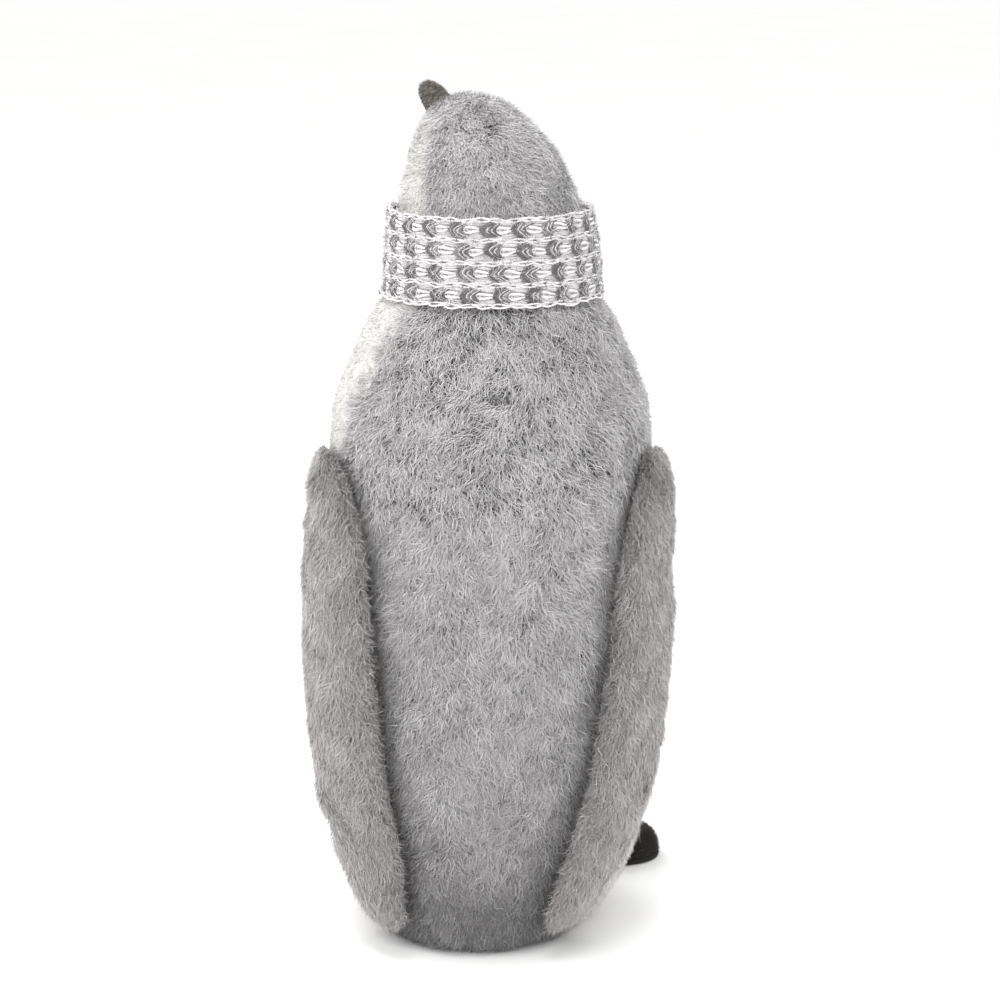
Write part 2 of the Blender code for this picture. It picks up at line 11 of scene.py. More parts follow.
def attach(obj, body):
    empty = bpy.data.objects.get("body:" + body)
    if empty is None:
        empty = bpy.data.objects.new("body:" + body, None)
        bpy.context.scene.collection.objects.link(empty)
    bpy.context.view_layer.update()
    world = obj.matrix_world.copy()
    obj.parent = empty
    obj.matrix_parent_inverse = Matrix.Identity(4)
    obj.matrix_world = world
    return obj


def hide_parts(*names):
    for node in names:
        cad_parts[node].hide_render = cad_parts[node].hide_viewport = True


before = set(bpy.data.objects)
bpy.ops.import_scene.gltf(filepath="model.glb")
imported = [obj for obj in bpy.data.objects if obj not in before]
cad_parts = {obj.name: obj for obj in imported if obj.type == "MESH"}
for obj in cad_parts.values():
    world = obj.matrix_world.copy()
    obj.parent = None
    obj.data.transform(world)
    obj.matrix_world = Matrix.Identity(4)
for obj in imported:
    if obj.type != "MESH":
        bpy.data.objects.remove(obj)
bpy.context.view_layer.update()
MM = 0.001

# ------------------------------------------------------------------ dimensions

# Taken from the CAD's tables. Height, half width, depth to the back, depth to the front, shift to
# the left (mm), then where the side seams lie, in degrees behind the left and the right side.
BODY_STATIONS = [
    (0, 56, 67, 54, 5, 42, 46),
    (5, 62, 73, 61, 5, 42, 46),
    (14, 67.5, 76, 66, 4, 42, 46),
    (30, 73.5, 78, 70, 2, 41, 45),
    (60, 78.5, 79, 73, 0, 37, 40),
    (100, 81.5, 80, 75, 0, 31, 33),
    (140, 81.5, 79, 75, -0.5, 26, 24),
    (180, 79, 77, 73, -0.5, 23, 15),
    (210, 78.5, 73, 71, -0.7, 22, 8),
    (232, 77.5, 69, 69, 0.3, 25, 2),
    (252, 75.5, 64, 66, 0.3, 31, -3),
    (271, 68.5, 59, 61, 0, 37, -8),
    (288, 61, 54, 56, 0, 42, -13),
    (300, 54, 50, 52, 0, 45, -17),
    (307, 48, 45.5, 47, -1, 46, -20),
    (325, 45.5, 43.5, 45, -1, 48, -26),
    (343, 43, 41.5, 42.5, 0, 49, -31),
]
HEAD_CENTRE = Vector((2.8, -3, 358)) * MM
BEAK_DIRECTION = Vector((0.5, -0.45, 0.74)).normalized()
# Distance along its own axis, radius (mm), share of the tilt, shift to the left (mm), left seam.
HEAD_STATIONS = [
    (-6, 41, 0.17, 0.3, 49),
    (5, 37.4, 0.37, 2.0, 49),
    (15, 32.2, 0.59, 2.2, 55),
    (25.2, 26.6, 0.77, 1.2, 61),
    (33.5, 19.5, 0.89, 0.4, 63),
    (39, 12.5, 0.96, 0, 60),
    (41.2, 8.0, 1.0, 0, 55),
    (41.9, 5.0, 1.0, 0, 52),
]
HEAD_RIGHT_SEAM = -35
BEAK_LENGTH = 14 * MM
BEAK_RADIUS = 6.2 * MM
BEAK_DROOP = 1.0 * MM
EYE_RADIUS = 4.5 * MM
EYE_HEIGHT = 2.4 * MM
EYE_FROM_BEAK = math.radians(36)
EYE_BELOW_SIDE = math.radians(60)

# Wings: height (mm), front edge and back edge in degrees behind the side, then the shares
# of the full wadding and of the full fabric thickness.
WING_STATIONS = [
    (231, 9, 26, 0.0, 0.5),
    (222, 2, 36, 0.3, 0.6),
    (205, 1, 46, 0.7, 0.8),
    (180, 8, 52, 1.0, 0.9),
    (140, 14, 56, 1.0, 1.0),
    (100, 20, 60, 1.0, 1.0),
    (70, 27, 63, 0.9, 1.0),
    (45, 36, 66, 0.7, 1.0),
    (25, 46, 66, 0.4, 1.0),
    (13, 52, 62, 0.0, 0.9),
]
WING_STAND_OFF = {"left": 3.0 * MM, "right": 0.5 * MM}
WING_HANG = {"left": -4.0, "right": 4.0}
WING_TRAIL = {"left": 0.92, "right": 0.81}

FOOT_HEEL = {"left": Vector((52, -46.5, 0)) * MM, "right": Vector((-47.5, -45, 0)) * MM}
FOOT_SPLAY = {"left": math.radians(26), "right": math.radians(52)}
FOOT_HEEL_RADIUS = 11 * MM
FOOT_TOE_RADIUS = 18.5 * MM
FOOT_TOE_DISTANCE = 27 * MM
FOOT_TOP = 13.0 * MM
FOOT_HEEL_SHARE = 0.4
FOOT_SLOPE_LENGTH = 22 * MM
FOOT_SOLE = 2 * MM

SCARF_BOTTOM = 304.5 * MM
SCARF_TOP = 343 * MM
SCARF_KNOT_ANGLE = -64
SCARF_KNOT_HALF_SIZE = (14 * MM, 8 * MM, 21 * MM)
SCARF_END_STATIONS = {
    "left": [(320, 6), (300, 8), (280, 11), (260, 14), (237, 17)],
    "right": [(320, -6), (300, -9), (280, -13), (264, -16), (250, -18)],
}

# ------------------------------------------------------------------ camera, light and floor


CAMERA_PLACE = (-0.0046, 1.22, 0.49)
CAMERA_DOWN = math.radians(13.24)
CAMERA_LENS = 94
WORLD_STRENGTH = 1.03
FLOOR_HALF = 20.0
# Name, place, height of the target, size (m) and power (W).
LIGHTS = [
    ("key_light", (0.7, 1.6, 1.5), 0.2, 1.0, 9),
    ("fill_light", (-1.1, 1.3, 0.9), 0.2, 1.0, 3),
    ("top_light", (0.1, 0.4, 2.0), 0.3, 0.9, 10),
    ("left_light", (1.7, -0.1, 0.9), 0.35, 0.8, 6),
    ("front_light", (0.6, -1.6, 1.3), 0.2, 1.2, 12),
]


def make_camera():
    data = bpy.data.cameras.new("camera")
    data.lens = CAMERA_LENS
    data.sensor_width = 36
    camera = bpy.data.objects.new("camera", data)
    camera.location = CAMERA_PLACE
    camera.rotation_euler = (0.5 * math.pi - CAMERA_DOWN, 0, math.pi)
    bpy.context.scene.collection.objects.link(camera)
    bpy.context.scene.camera = camera


def make_light(name, place, target_height, size, power):
    data = bpy.data.lights.new(name, "AREA")
    data.shape = "DISK"
    data.size = size
    data.energy = power
    lamp = bpy.data.objects.new(name, data)
    lamp.location = place
    lamp.rotation_euler = (Vector((0, 0, target_height)) - Vector(place)).to_track_quat("-Z", "Y").to_euler()
    bpy.context.scene.collection.objects.link(lamp)


def make_studio():
    world = bpy.data.worlds.new("studio")
    world.use_nodes = True
    background = world.node_tree.nodes["Background"]
    background.inputs["Color"].default_value = (1.0, 1.0, 1.0, 1)
    background.inputs["Strength"].default_value = WORLD_STRENGTH
    bpy.context.scene.world = world
    bpy.context.scene.view_settings.view_transform = "Standard"
    for light in LIGHTS:
        make_light(*light)
    mesh = bpy.data.meshes.new("floor")
    corners = [(x * FLOOR_HALF, y * FLOOR_HALF, 0) for x, y in ((-1, -1), (1, -1), (1, 1), (-1, 1))]
    mesh.from_pydata(corners, [], [(0, 1, 2, 3)])
    floor = bpy.data.objects.new("floor", mesh)
    floor.location.z = -0.3 * MM
    bpy.context.scene.collection.objects.link(floor)
    material = fabric("floor_paper", (0.97, 0.97, 0.965), (0.955, 0.955, 0.95), 3, 0.0, 0.0, 0.9, 0)
    mesh.materials.append(material)


# ------------------------------------------------------------------ materials


def new_material(name, colour, roughness, sheen):
    material = bpy.data.materials.new(name)
    material.use_nodes = True
    nodes, links = material.node_tree.nodes, material.node_tree.links
    shader = nodes["Principled BSDF"]
    shader.inputs["Base Color"].default_value = (*colour, 1)
    shader.inputs["Roughness"].default_value = roughness
    shader.inputs["Specular IOR Level"].default_value = 0.3
    shader.inputs["Sheen Weight"].default_value = sheen
    shader.inputs["Sheen Roughness"].default_value = 0.5
    coordinates = nodes.new("ShaderNodeTexCoord")
    return material, nodes, links, shader, coordinates.outputs["Object"]


def add_noise(nodes, links, place, scale, detail=3.0):
    noise = nodes.new("ShaderNodeTexNoise")
    noise.inputs["Scale"].default_value = scale
    noise.inputs["Detail"].default_value = detail
    links.new(place, noise.inputs["Vector"])
    return noise.outputs["Fac"]


def add_bump(nodes, links, height, shader, distance, strength=0.6):
    bump = nodes.new("ShaderNodeBump")
    bump.inputs["Strength"].default_value = strength
    bump.inputs["Distance"].default_value = distance
    links.new(height, bump.inputs["Height"])
    links.new(bump.outputs["Normal"], shader.inputs["Normal"])


def add_range(nodes, links, value, low, high):
    node = nodes.new("ShaderNodeMapRange")
    node.inputs["To Min"].default_value = low
    node.inputs["To Max"].default_value = high
    links.new(value, node.inputs["Value"])
    return node.outputs["Result"]


def fabric(name, light, dark, scale, bump_scale, bump, roughness, sheen):
    """Cloth whose colour drifts between two tones, with a fine bumpy surface."""
    material, nodes, links, shader, place = new_material(name, light, roughness, sheen)
    ramp = nodes.new("ShaderNodeValToRGB")
    ramp.color_ramp.elements[0].position = 0.35
    ramp.color_ramp.elements[1].position = 0.65
    ramp.color_ramp.elements[0].color = (*dark, 1)
    ramp.color_ramp.elements[1].color = (*light, 1)
    links.new(add_noise(nodes, links, place, scale), ramp.inputs["Fac"])
    links.new(ramp.outputs["Color"], shader.inputs["Base Color"])
    if bump:
        add_bump(nodes, links, add_noise(nodes, links, place, bump_scale, 4.0), shader, bump)
    return material


def fibre_tone(name, colour, roughness=0.85, sheen=0.15):
    """One tone of pile or yarn, with uneven gloss and a rough fibre surface."""
    material, nodes, links, shader, place = new_material(name, colour, roughness, sheen)
    uneven = add_noise(nodes, links, place, 900, 2.0)
    links.new(add_range(nodes, links, uneven, roughness - 0.15, roughness + 0.1), shader.inputs["Roughness"])
    add_bump(nodes, links, add_noise(nodes, links, place, 2600, 2.0), shader, 0.0001, 0.4)
    return material


def tone_set(name, colours, roughness=0.85, sheen=0.15):
    return [fibre_tone(f"{name}_{i}", c, roughness, sheen) for i, c in enumerate(colours)]


# ------------------------------------------------------------------ numbers and fields


def unit(vectors):
    return vectors / np.maximum(np.linalg.norm(vectors, axis=-1, keepdims=True), 1e-12)


def waves(points, wavelength, seed, count=7):
    """Smooth field over points with spread about 1, made of plane waves in random directions."""
    rng = np.random.default_rng(seed)
    directions = unit(rng.normal(size=(count, 3)))
    pitch = math.tau / (wavelength * rng.uniform(0.7, 1.4, count))
    phase = rng.uniform(0, math.tau, count)
    return np.sin(points @ (directions.T * pitch) + phase).sum(-1) * math.sqrt(2.0 / count)


def smooth_table(stations, x, column):
    """Values in one column of a table, smooth between its rows."""
    rows = np.array(sorted(stations), float)
    return hermite(rows[:, 0], rows[:, column : column + 1], np.asarray(x, float))[..., 0]


def hermite(knots, values, x):
    """Cubic through the values at the knots, with no overshoot beyond its neighbours' slopes."""
    slopes = np.diff(values, axis=0) / np.diff(knots)[:, None]
    before = np.vstack([slopes[:1], slopes])
    after = np.vstack([slopes, slopes[-1:]])
    same = before * after > 0
    tangent = np.where(same, 2 * before * after / np.where(same, before + after, 1), 0)
    tangent[0], tangent[-1] = slopes[0], slopes[-1]
    x = np.clip(x, knots[0], knots[-1])
    i = np.clip(np.searchsorted(knots, x) - 1, 0, len(knots) - 2)
    span = (knots[i + 1] - knots[i])[..., None]
    t = (x - knots[i])[..., None] / span
    low, high = values[i], values[i + 1]
    return (
        (1 + 2 * t) * (1 - t) ** 2 * low
        + t * (1 - t) ** 2 * span * tangent[i]
        + t**2 * (3 - 2 * t) * high
        + t**2 * (t - 1) * span * tangent[i + 1]
    )


class Surface:
    """The penguin's smooth outer surface: s runs from the base to the beak, a goes round."""

    def __init__(self):
        rows = []
        for height, width, back, front, shift, left, right in BODY_STATIONS:
            row = [shift * MM, 0, height * MM, width * MM, 0, 0, 0, back * MM, 0, 0, front * MM, 0]
            rows.append(row + [math.radians(left), math.pi - math.radians(right)])
        full = BEAK_DIRECTION.angle(Vector((0, 0, 1)))
        hinge = Vector((0, 0, 1)).cross(BEAK_DIRECTION)
        for distance, radius, share, shift, seam in HEAD_STATIONS:
            tilt = Matrix.Rotation(full * share, 3, hinge)
            centre = HEAD_CENTRE + tilt @ Vector((shift * MM, 0, distance * MM))
            side, depth = tilt.col[0] * radius * MM, tilt.col[1] * radius * MM
            seams = [math.radians(seam), math.pi - math.radians(HEAD_RIGHT_SEAM)]
            rows.append([*centre, *side, *depth, *depth, *seams])
        self.rows = np.array(rows)
        corners = [self.rows[:, :3] + self.rows[:, 3 * k : 3 * k + 3] for k in (1, 2)]
        corners += [self.rows[:, :3] - self.rows[:, 3 * k : 3 * k + 3] for k in (1, 3)]
        steps = np.mean([np.linalg.norm(np.diff(c, axis=0), axis=1) for c in corners], axis=0)
        self.s = np.concatenate([[0], np.cumsum(steps)])
        self.top = self.s[-1]

    def at_height(self, height):
        count = len(BODY_STATIONS)
        return np.interp(height, self.rows[:count, 2], self.s[:count])

    def values(self, s):
        return hermite(self.s, self.rows, s)

    def point(self, s, a):
        v = self.values(s)
        depth = np.where(np.sin(a)[..., None] > 0, v[..., 6:9], v[..., 9:12])
        flat = np.cos(a)[..., None] * v[..., 3:6] + np.sin(a)[..., None] * depth
        return v[..., :3] + flat

    def frame(self, s, a):
        """Point, outward normal, and the direction down the surface."""
        step = 0.4 * MM
        along = self.point(np.minimum(s + step, self.top), a) - self.point(np.maximum(s - step, 0), a)
        around = self.point(s, a + 0.01) - self.point(s, a - 0.01)
        normal = unit(np.cross(around, along))
        return self.point(s, a), normal, -unit(along)

    def seams(self, s):
        v = self.values(s)
        return v[..., 12], v[..., 13]


SURFACE = Surface()


def back_edges(s):
    return SURFACE.seams(s)


def fur_edges(s):
    """The fur spills over the left seam at the shoulder."""
    left, right = SURFACE.seams(s)
    height = SURFACE.values(s)[..., 2]
    return left - 0.09 * np.clip(1.4 - np.abs(height - 278 * MM) / (28 * MM), 0, 1), right


def front_edges(s):
    left, right = SURFACE.seams(s)
    return right, left + math.tau


def foot_dent(points):
    """How far the cover is pushed in where a heel is sewn under the belly."""
    depth = np.zeros(points.shape[:-1])
    for side in ("left", "right"):
        heel = np.array(FOOT_HEEL[side])[:2]
        near = np.clip(1.25 - np.linalg.norm(points[..., :2] - heel, axis=-1) / (19 * MM), 0, 1)
        low = np.clip((24 * MM - points[..., 2]) / (14 * MM), 0, 1)
        depth = np.maximum(depth, 12 * MM * near * low * low)
    return depth


# ------------------------------------------------------------------ mesh helpers


def link_mesh(name, mesh, materials, body):
    for item in materials:
        mesh.materials.append(item)
    item = bpy.data.objects.new(name, mesh)
    bpy.context.scene.collection.objects.link(item)
    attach(item, body)
    return item


def mesh_from_arrays(name, points, faces, tones=None, normals=None):
    """Mesh from an array of points and an array of equal-sized faces."""
    mesh = bpy.data.meshes.new(name)
    count, size = faces.shape
    mesh.vertices.add(len(points))
    mesh.vertices.foreach_set("co", np.ascontiguousarray(points, np.float32).ravel())
    mesh.loops.add(count * size)
    mesh.loops.foreach_set("vertex_index", np.ascontiguousarray(faces, np.int32).ravel())
    mesh.polygons.add(count)
    mesh.polygons.foreach_set("loop_start", np.arange(0, count * size, size, dtype=np.int32))
    if tones is not None:
        mesh.polygons.foreach_set("material_index", np.ascontiguousarray(tones, np.int32).ravel())
    mesh.polygons.foreach_set("use_smooth", np.ones(count, bool))
    mesh.update(calc_edges=True)
    if normals is not None:
        mesh.normals_split_custom_set_from_vertices(unit(normals).reshape(-1, 3).astype(np.float32))
    return mesh


def grid_faces(rows, columns, closed, start=0):
    faces = []
    for i in range(start, start + (rows - 1) * columns, columns):
        for j in range(columns if closed else columns - 1):
            k = (j + 1) % columns
            faces.append((i + j, i + k, i + columns + k, i + columns + j))
    return faces


def shell_mesh(name, outer, inner, closed=False):
    """Closed sheet between two grids of points, faces pointing out."""
    rows, columns = outer.shape[:2]
    size = rows * columns
    points = np.vstack([outer.reshape(-1, 3), inner.reshape(-1, 3)])
    faces = grid_faces(rows, columns, closed)
    faces += [face[::-1] for face in grid_faces(rows, columns, closed, size)]
    last = (rows - 1) * columns
    for j in range(columns if closed else columns - 1):
        k = (j + 1) % columns
        faces.append((k, j, size + j, size + k))
        faces.append((last + j, last + k, size + last + k, size + last + j))
    if not closed:
        for i in range(rows - 1):
            a, b = i * columns, (i + 1) * columns
            faces.append((a, b, size + b, size + a))
            a, b = a + columns - 1, b + columns - 1
            faces.append((b, a, size + a, size + b))
    mesh = mesh_from_arrays(name, points, np.array(faces))
    fix_normals(mesh)
    return mesh


def fix_normals(mesh):
    data = bmesh.new()
    data.from_mesh(mesh)
    bmesh.ops.recalc_face_normals(data, faces=data.faces)
    data.to_mesh(mesh)
    data.free()


def lofted(name, grid):
    """Solid through closed rings, with a cap on each end."""
    rows, columns = grid.shape[:2]
    points = np.vstack([grid.reshape(-1, 3), grid[0].mean(0), grid[-1].mean(0)])
    bottom, top, last = rows * columns, rows * columns + 1, (rows - 1) * columns
    mesh = bpy.data.meshes.new(name)
    faces = grid_faces(rows, columns, True)
    faces += [((j + 1) % columns, j, bottom) for j in range(columns)]
    faces += [(last + j, last + (j + 1) % columns, top) for j in range(columns)]
    mesh.from_pydata(points.tolist(), [], faces)
    mesh.polygons.foreach_set("use_smooth", np.ones(len(mesh.polygons), bool))
    fix_normals(mesh)
    return mesh


STRAND_FACES = np.array(
    [(0, 1, 2), (0, 4, 1), (0, 3, 4), (1, 5, 2), (1, 4, 5), (2, 3, 0), (2, 5, 3)]
    + [(3, 6, 4), (4, 6, 5), (5, 6, 3)]
)
STRAND_UPPER = np.array([0, 0, 0, 0, 0, 0, 0, 1, 1, 1])
TUFT_FACES = np.array([(0, 1, 2), (0, 3, 1), (1, 3, 2), (2, 3, 0)])


def blade(centre, side, up, width, flat):
    """Three corners of a strand's cross-section."""
    corners = [(-1.0, -0.5), (1.0, -0.5), (0.0, 1.0)]
    return [centre + width * (x * side + flat * y * up) for x, y in corners]


def strand_mesh(name, root, middle, tip, normal, width, low_tone, high_tone):
    """Bent tapered strands: thick to the middle, then drawn out to a point."""
    grow = unit(middle - root)
    side = unit(np.cross(grow, normal))
    up = np.cross(side, grow)
    width = width[:, None]
    base = blade(root, side, up, 0.5 * width, 0.7)
    grow = unit(tip - middle)
    side = unit(np.cross(grow, normal))
    up = np.cross(side, grow)
    waist = blade(middle, side, up, 0.42 * width, 0.7)
    points = np.stack([*base, *waist, tip], axis=1)
    count = len(root)
    faces = (STRAND_FACES[None] + 7 * np.arange(count)[:, None, None]).reshape(-1, 3)
    tones = np.where(STRAND_UPPER[None] == 1, high_tone[:, None], low_tone[:, None]).ravel()
    normals = soft_normals(points, root, tip, normal)
    return mesh_from_arrays(name, points.reshape(-1, 3), faces, tones, normals)


def soft_normals(points, root, tip, normal, share=0.55):
    """Shading normals between each fibre's own sides and the lie of the cloth under it."""
    along = unit(tip - root)[:, None]
    away = points - root[:, None]
    own = unit(away - (away * along).sum(-1, keepdims=True) * along)
    return share * normal[:, None] + (1 - share) * own


def tuft_mesh(name, root, tip, normal, width, tone):
    """Short straight tapered fibres."""
    grow = unit(tip - root)
    side = unit(np.cross(grow, normal))
    up = np.cross(side, grow)
    points = np.stack([*blade(root, side, up, 0.5 * width[:, None], 0.8), tip], axis=1)
    count = len(root)
    faces = (TUFT_FACES[None] + 4 * np.arange(count)[:, None, None]).reshape(-1, 3)
    normals = soft_normals(points, root, tip, normal, 0.7)
    return mesh_from_arrays(name, points.reshape(-1, 3), faces, np.repeat(tone, 4), normals)


def tube_mesh(name, paths, ups, radius, tones, sides=5):
    """Closed round yarns along many paths with the same number of points."""
    count, steps = paths.shape[:2]
    along = unit(np.gradient(paths, axis=1))
    side = unit(np.cross(along, ups))
    up = np.cross(side, along)
    turn = math.tau * np.arange(sides) / sides
    ring = (
        np.cos(turn)[None, None, :, None] * side[:, :, None]
        + np.sin(turn)[None, None, :, None] * up[:, :, None]
    )
    body = paths[:, :, None] + radius[:, :, None, None] * ring
    ends = np.stack(
        [paths[:, 0] - along[:, 0] * radius[:, :1], paths[:, -1] + along[:, -1] * radius[:, -1:]], axis=1
    )
    points = np.concatenate([body.reshape(count, -1, 3), ends], axis=1)
    size = steps * sides
    faces = []
    for i in range(steps - 1):
        for j in range(sides):
            k = (j + 1) % sides
            a, b, c, d = i * sides + j, i * sides + k, (i + 1) * sides + k, (i + 1) * sides + j
            faces += [(a, c, b), (a, d, c)]
    last = (steps - 1) * sides
    for j in range(sides):
        k = (j + 1) % sides
        faces += [(j, k, size), (last + k, last + j, size + 1)]
    faces = np.array(faces)
    every = (faces[None] + (size + 2) * np.arange(count)[:, None, None]).reshape(-1, 3)
    return mesh_from_arrays(name, points.reshape(-1, 3), every, np.repeat(tones, len(faces)))


# ------------------------------------------------------------------ body covers

FUR_DEPTH = 3.4 * MM
PLUSH_DEPTH = 2.2 * MM
# Painted light and shade on the fur: how many tone steps darker it is painted at each height above the
# ground, darkest at the base where the body turns under and lighter towards the crown, where light falls from
# above.
PAINTED_SHADE_HEIGHTS = np.array([0, 15, 30, 48, 75, 110, 200, 300, 372, 388]) * MM
PAINTED_SHADE_STEPS = [5.0, 4.2, 3.3, 1.9, 0.6, 0.3, -0.6, -1.2, -0.7, -2.2]
CLUMPS = 2000
STRANDS_IN_CLUMP = 9
STRAND_WIDTH = 0.34 * MM
FUR_LENGTH = 8.2 * MM
HEAD_FUR_LENGTH = 7.0 * MM
UNDERFUR_COUNT = 9000
LINING_TUFTS = 9000
CLUMP_PULL = 0.5
LOWEST_FIBRE = 0.4 * MM
NECK_BELOW = SURFACE.at_height(SCARF_BOTTOM + 6 * MM)
NECK_ABOVE = SURFACE.at_height(SCARF_TOP - 5 * MM)
CROWN = SURFACE.top - 1 * MM


def cover_grid(edges, s, columns, depth, overlap=0.0):
    """Grid of points at a depth under the surface between two seams."""
    first, last = edges(s)
    share = np.linspace(0, 1, columns)[None]
    reach = overlap / 0.06
    a = first[:, None] - reach + (last - first + 2 * reach)[:, None] * share
    point, normal, _ = SURFACE.frame(np.repeat(s[:, None], columns, 1), a)
    depth = depth + foot_dent(point)
    return point - depth[..., None] * normal


def make_covers(fur_base, plush_base, fibre):
    s = np.linspace(0, SURFACE.top, 110)
    outer = cover_grid(back_edges, s, 60, FUR_DEPTH)
    inner = cover_grid(back_edges, s, 60, FUR_DEPTH + 1.6 * MM)
    back = link_mesh("back_cover", shell_mesh("back_cover", outer, inner), [fur_base], "body")
    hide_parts("back_panel")
    outer = cover_grid(front_edges, s, 60, PLUSH_DEPTH, 0.8 * MM)
    inner = cover_grid(front_edges, s, 60, PLUSH_DEPTH + 1.4 * MM, 0.8 * MM)
    front = link_mesh(
        "front_cover", shell_mesh("front_cover", outer, inner), [plush_base], "body"
    )
    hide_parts("front_panel")
    s = np.linspace(SURFACE.at_height(6 * MM), SURFACE.top, 90)
    rounds = np.linspace(0, math.tau, 72, endpoint=False)
    point, normal, _ = SURFACE.frame(np.repeat(s[:, None], 72, 1), np.repeat(rounds[None], 90, 0))
    depth = 7.6 * MM + foot_dent(point)
    filling = link_mesh(
        "body_filling", lofted("body_filling", point - depth[..., None] * normal), [fibre], "body"
    )
    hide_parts("stuffing")


def scatter(edges, s_low, s_high, count, rng):
    """Evenly spread (s, a) places between two seams."""
    rows, columns = 220, 110
    s = np.linspace(s_low, s_high, rows)
    grid = cover_grid(edges, s, columns, 3 * MM)
    across = grid[:-1, 1:] - grid[:-1, :-1]
    up = grid[1:, :-1] - grid[:-1, :-1]
    area = np.linalg.norm(np.cross(across, up), axis=-1).ravel()
    picks = rng.choice(area.size, count, p=area / area.sum())
    i, j = np.divmod(picks, columns - 1)
    place = s[i] + (s[1] - s[0]) * rng.random(count)
    share = (j + rng.random(count)) / (columns - 1)
    first, last = edges(place)
    return place, first + (last - first) * share, share


def turned_towards(direction, normal, angle):
    """Turn directions about the surface normal."""
    side = np.cross(normal, direction)
    return np.cos(angle)[:, None] * direction + np.sin(angle)[:, None] * side


def ramp(value, first, last):
    """From 0 where value is first to 1 where it is last, and level beyond them."""
    return np.clip((value - first) / (last - first), 0, 1)


def grow_fur(name, body, place, normal, down, tones, length, lift, darkening, rng, spread=1.5):
    """Clumps of long fur: each clump shares a lie, a tone and a place where its tips meet."""
    count = len(place)
    pick = np.repeat(np.arange(count), STRANDS_IN_CLUMP)
    total = len(pick)
    n, d = normal[pick], down[pick]
    side = np.cross(n, d)
    offset = rng.normal(0, spread * MM, (total, 2))
    root = place[pick] + offset[:, :1] * side + offset[:, 1:] * d
    reach = length[pick] * rng.uniform(0.7, 1.15, total)
    twist = rng.normal(0, 0.34, total) + rng.normal(0, 0.25, count)[pick]
    lie = turned_towards(d, n, twist)
    raised = lift[pick] + rng.normal(0, 0.16, total)
    first = unit(np.cos(raised + 0.35)[:, None] * lie + np.sin(raised + 0.35)[:, None] * n)
    curl = turned_towards(lie, n, rng.normal(0, 0.5, total))
    second = unit(np.cos(raised - 0.3)[:, None] * curl + np.sin(raised - 0.3)[:, None] * n)
    middle = root + 0.5 * reach[:, None] * first
    tip = middle + 0.55 * reach[:, None] * second
    pull = CLUMP_PULL * rng.uniform(0.4, 1.0, total)
    tip -= (pull * offset[:, 0])[:, None] * side + 0.5 * (pull * offset[:, 1])[:, None] * d
    middle -= 0.3 * (pull * offset[:, 0])[:, None] * side
    root = root - 0.6 * MM * n
    for points in (root, middle, tip):
        points[:, 2] = np.maximum(points[:, 2], LOWEST_FIBRE)
    steps = len(tones)
    shade = waves(place, 26 * MM, 5)[pick] * 0.3 + waves(place, 7 * MM, 6)[pick] * 0.3
    shade = shade + rng.normal(0, 0.9, total) + 0.35 * rng.normal(0, 1, count)[pick]
    shade = shade - darkening[pick]
    high = np.clip(np.round(steps * 0.62 + 0.8 * shade), 0, steps - 1).astype(int)
    low = np.clip(high - rng.integers(0, 3, total), 0, steps - 1)
    mesh = strand_mesh(name, root, middle, tip, n, STRAND_WIDTH * rng.uniform(0.75, 1.3, total), low, high)
    link_mesh(name, mesh, tones, body)


def grow_plush(name, body, place, normal, down, tones, length, lift, width, rng):
    """Short dense pile that leans a little down the surface."""
    total = len(place)
    lie = turned_towards(down, normal, rng.normal(0, 0.7, total))
    raised = lift + rng.normal(0, 0.2, total)
    grow = unit(np.cos(raised)[:, None] * lie + np.sin(raised)[:, None] * normal)
    reach = length * rng.uniform(0.7, 1.2, total)
    tip = place + reach[:, None] * grow
    root = place - 0.4 * MM * normal
    tip[:, 2] = np.maximum(tip[:, 2], LOWEST_FIBRE)
    root[:, 2] = np.maximum(root[:, 2], 0.3 * MM)
    steps = len(tones)
    shade = 0.5 * waves(place, 14 * MM, 9) + rng.normal(0, 0.8, total)
    tone = np.clip(np.round(0.5 * (steps - 1) + 0.6 * shade), 0, steps - 1).astype(int)
    mesh = tuft_mesh(name, root, tip, normal, width * rng.uniform(0.8, 1.25, total), tone)
    link_mesh(name, mesh, tones, body)


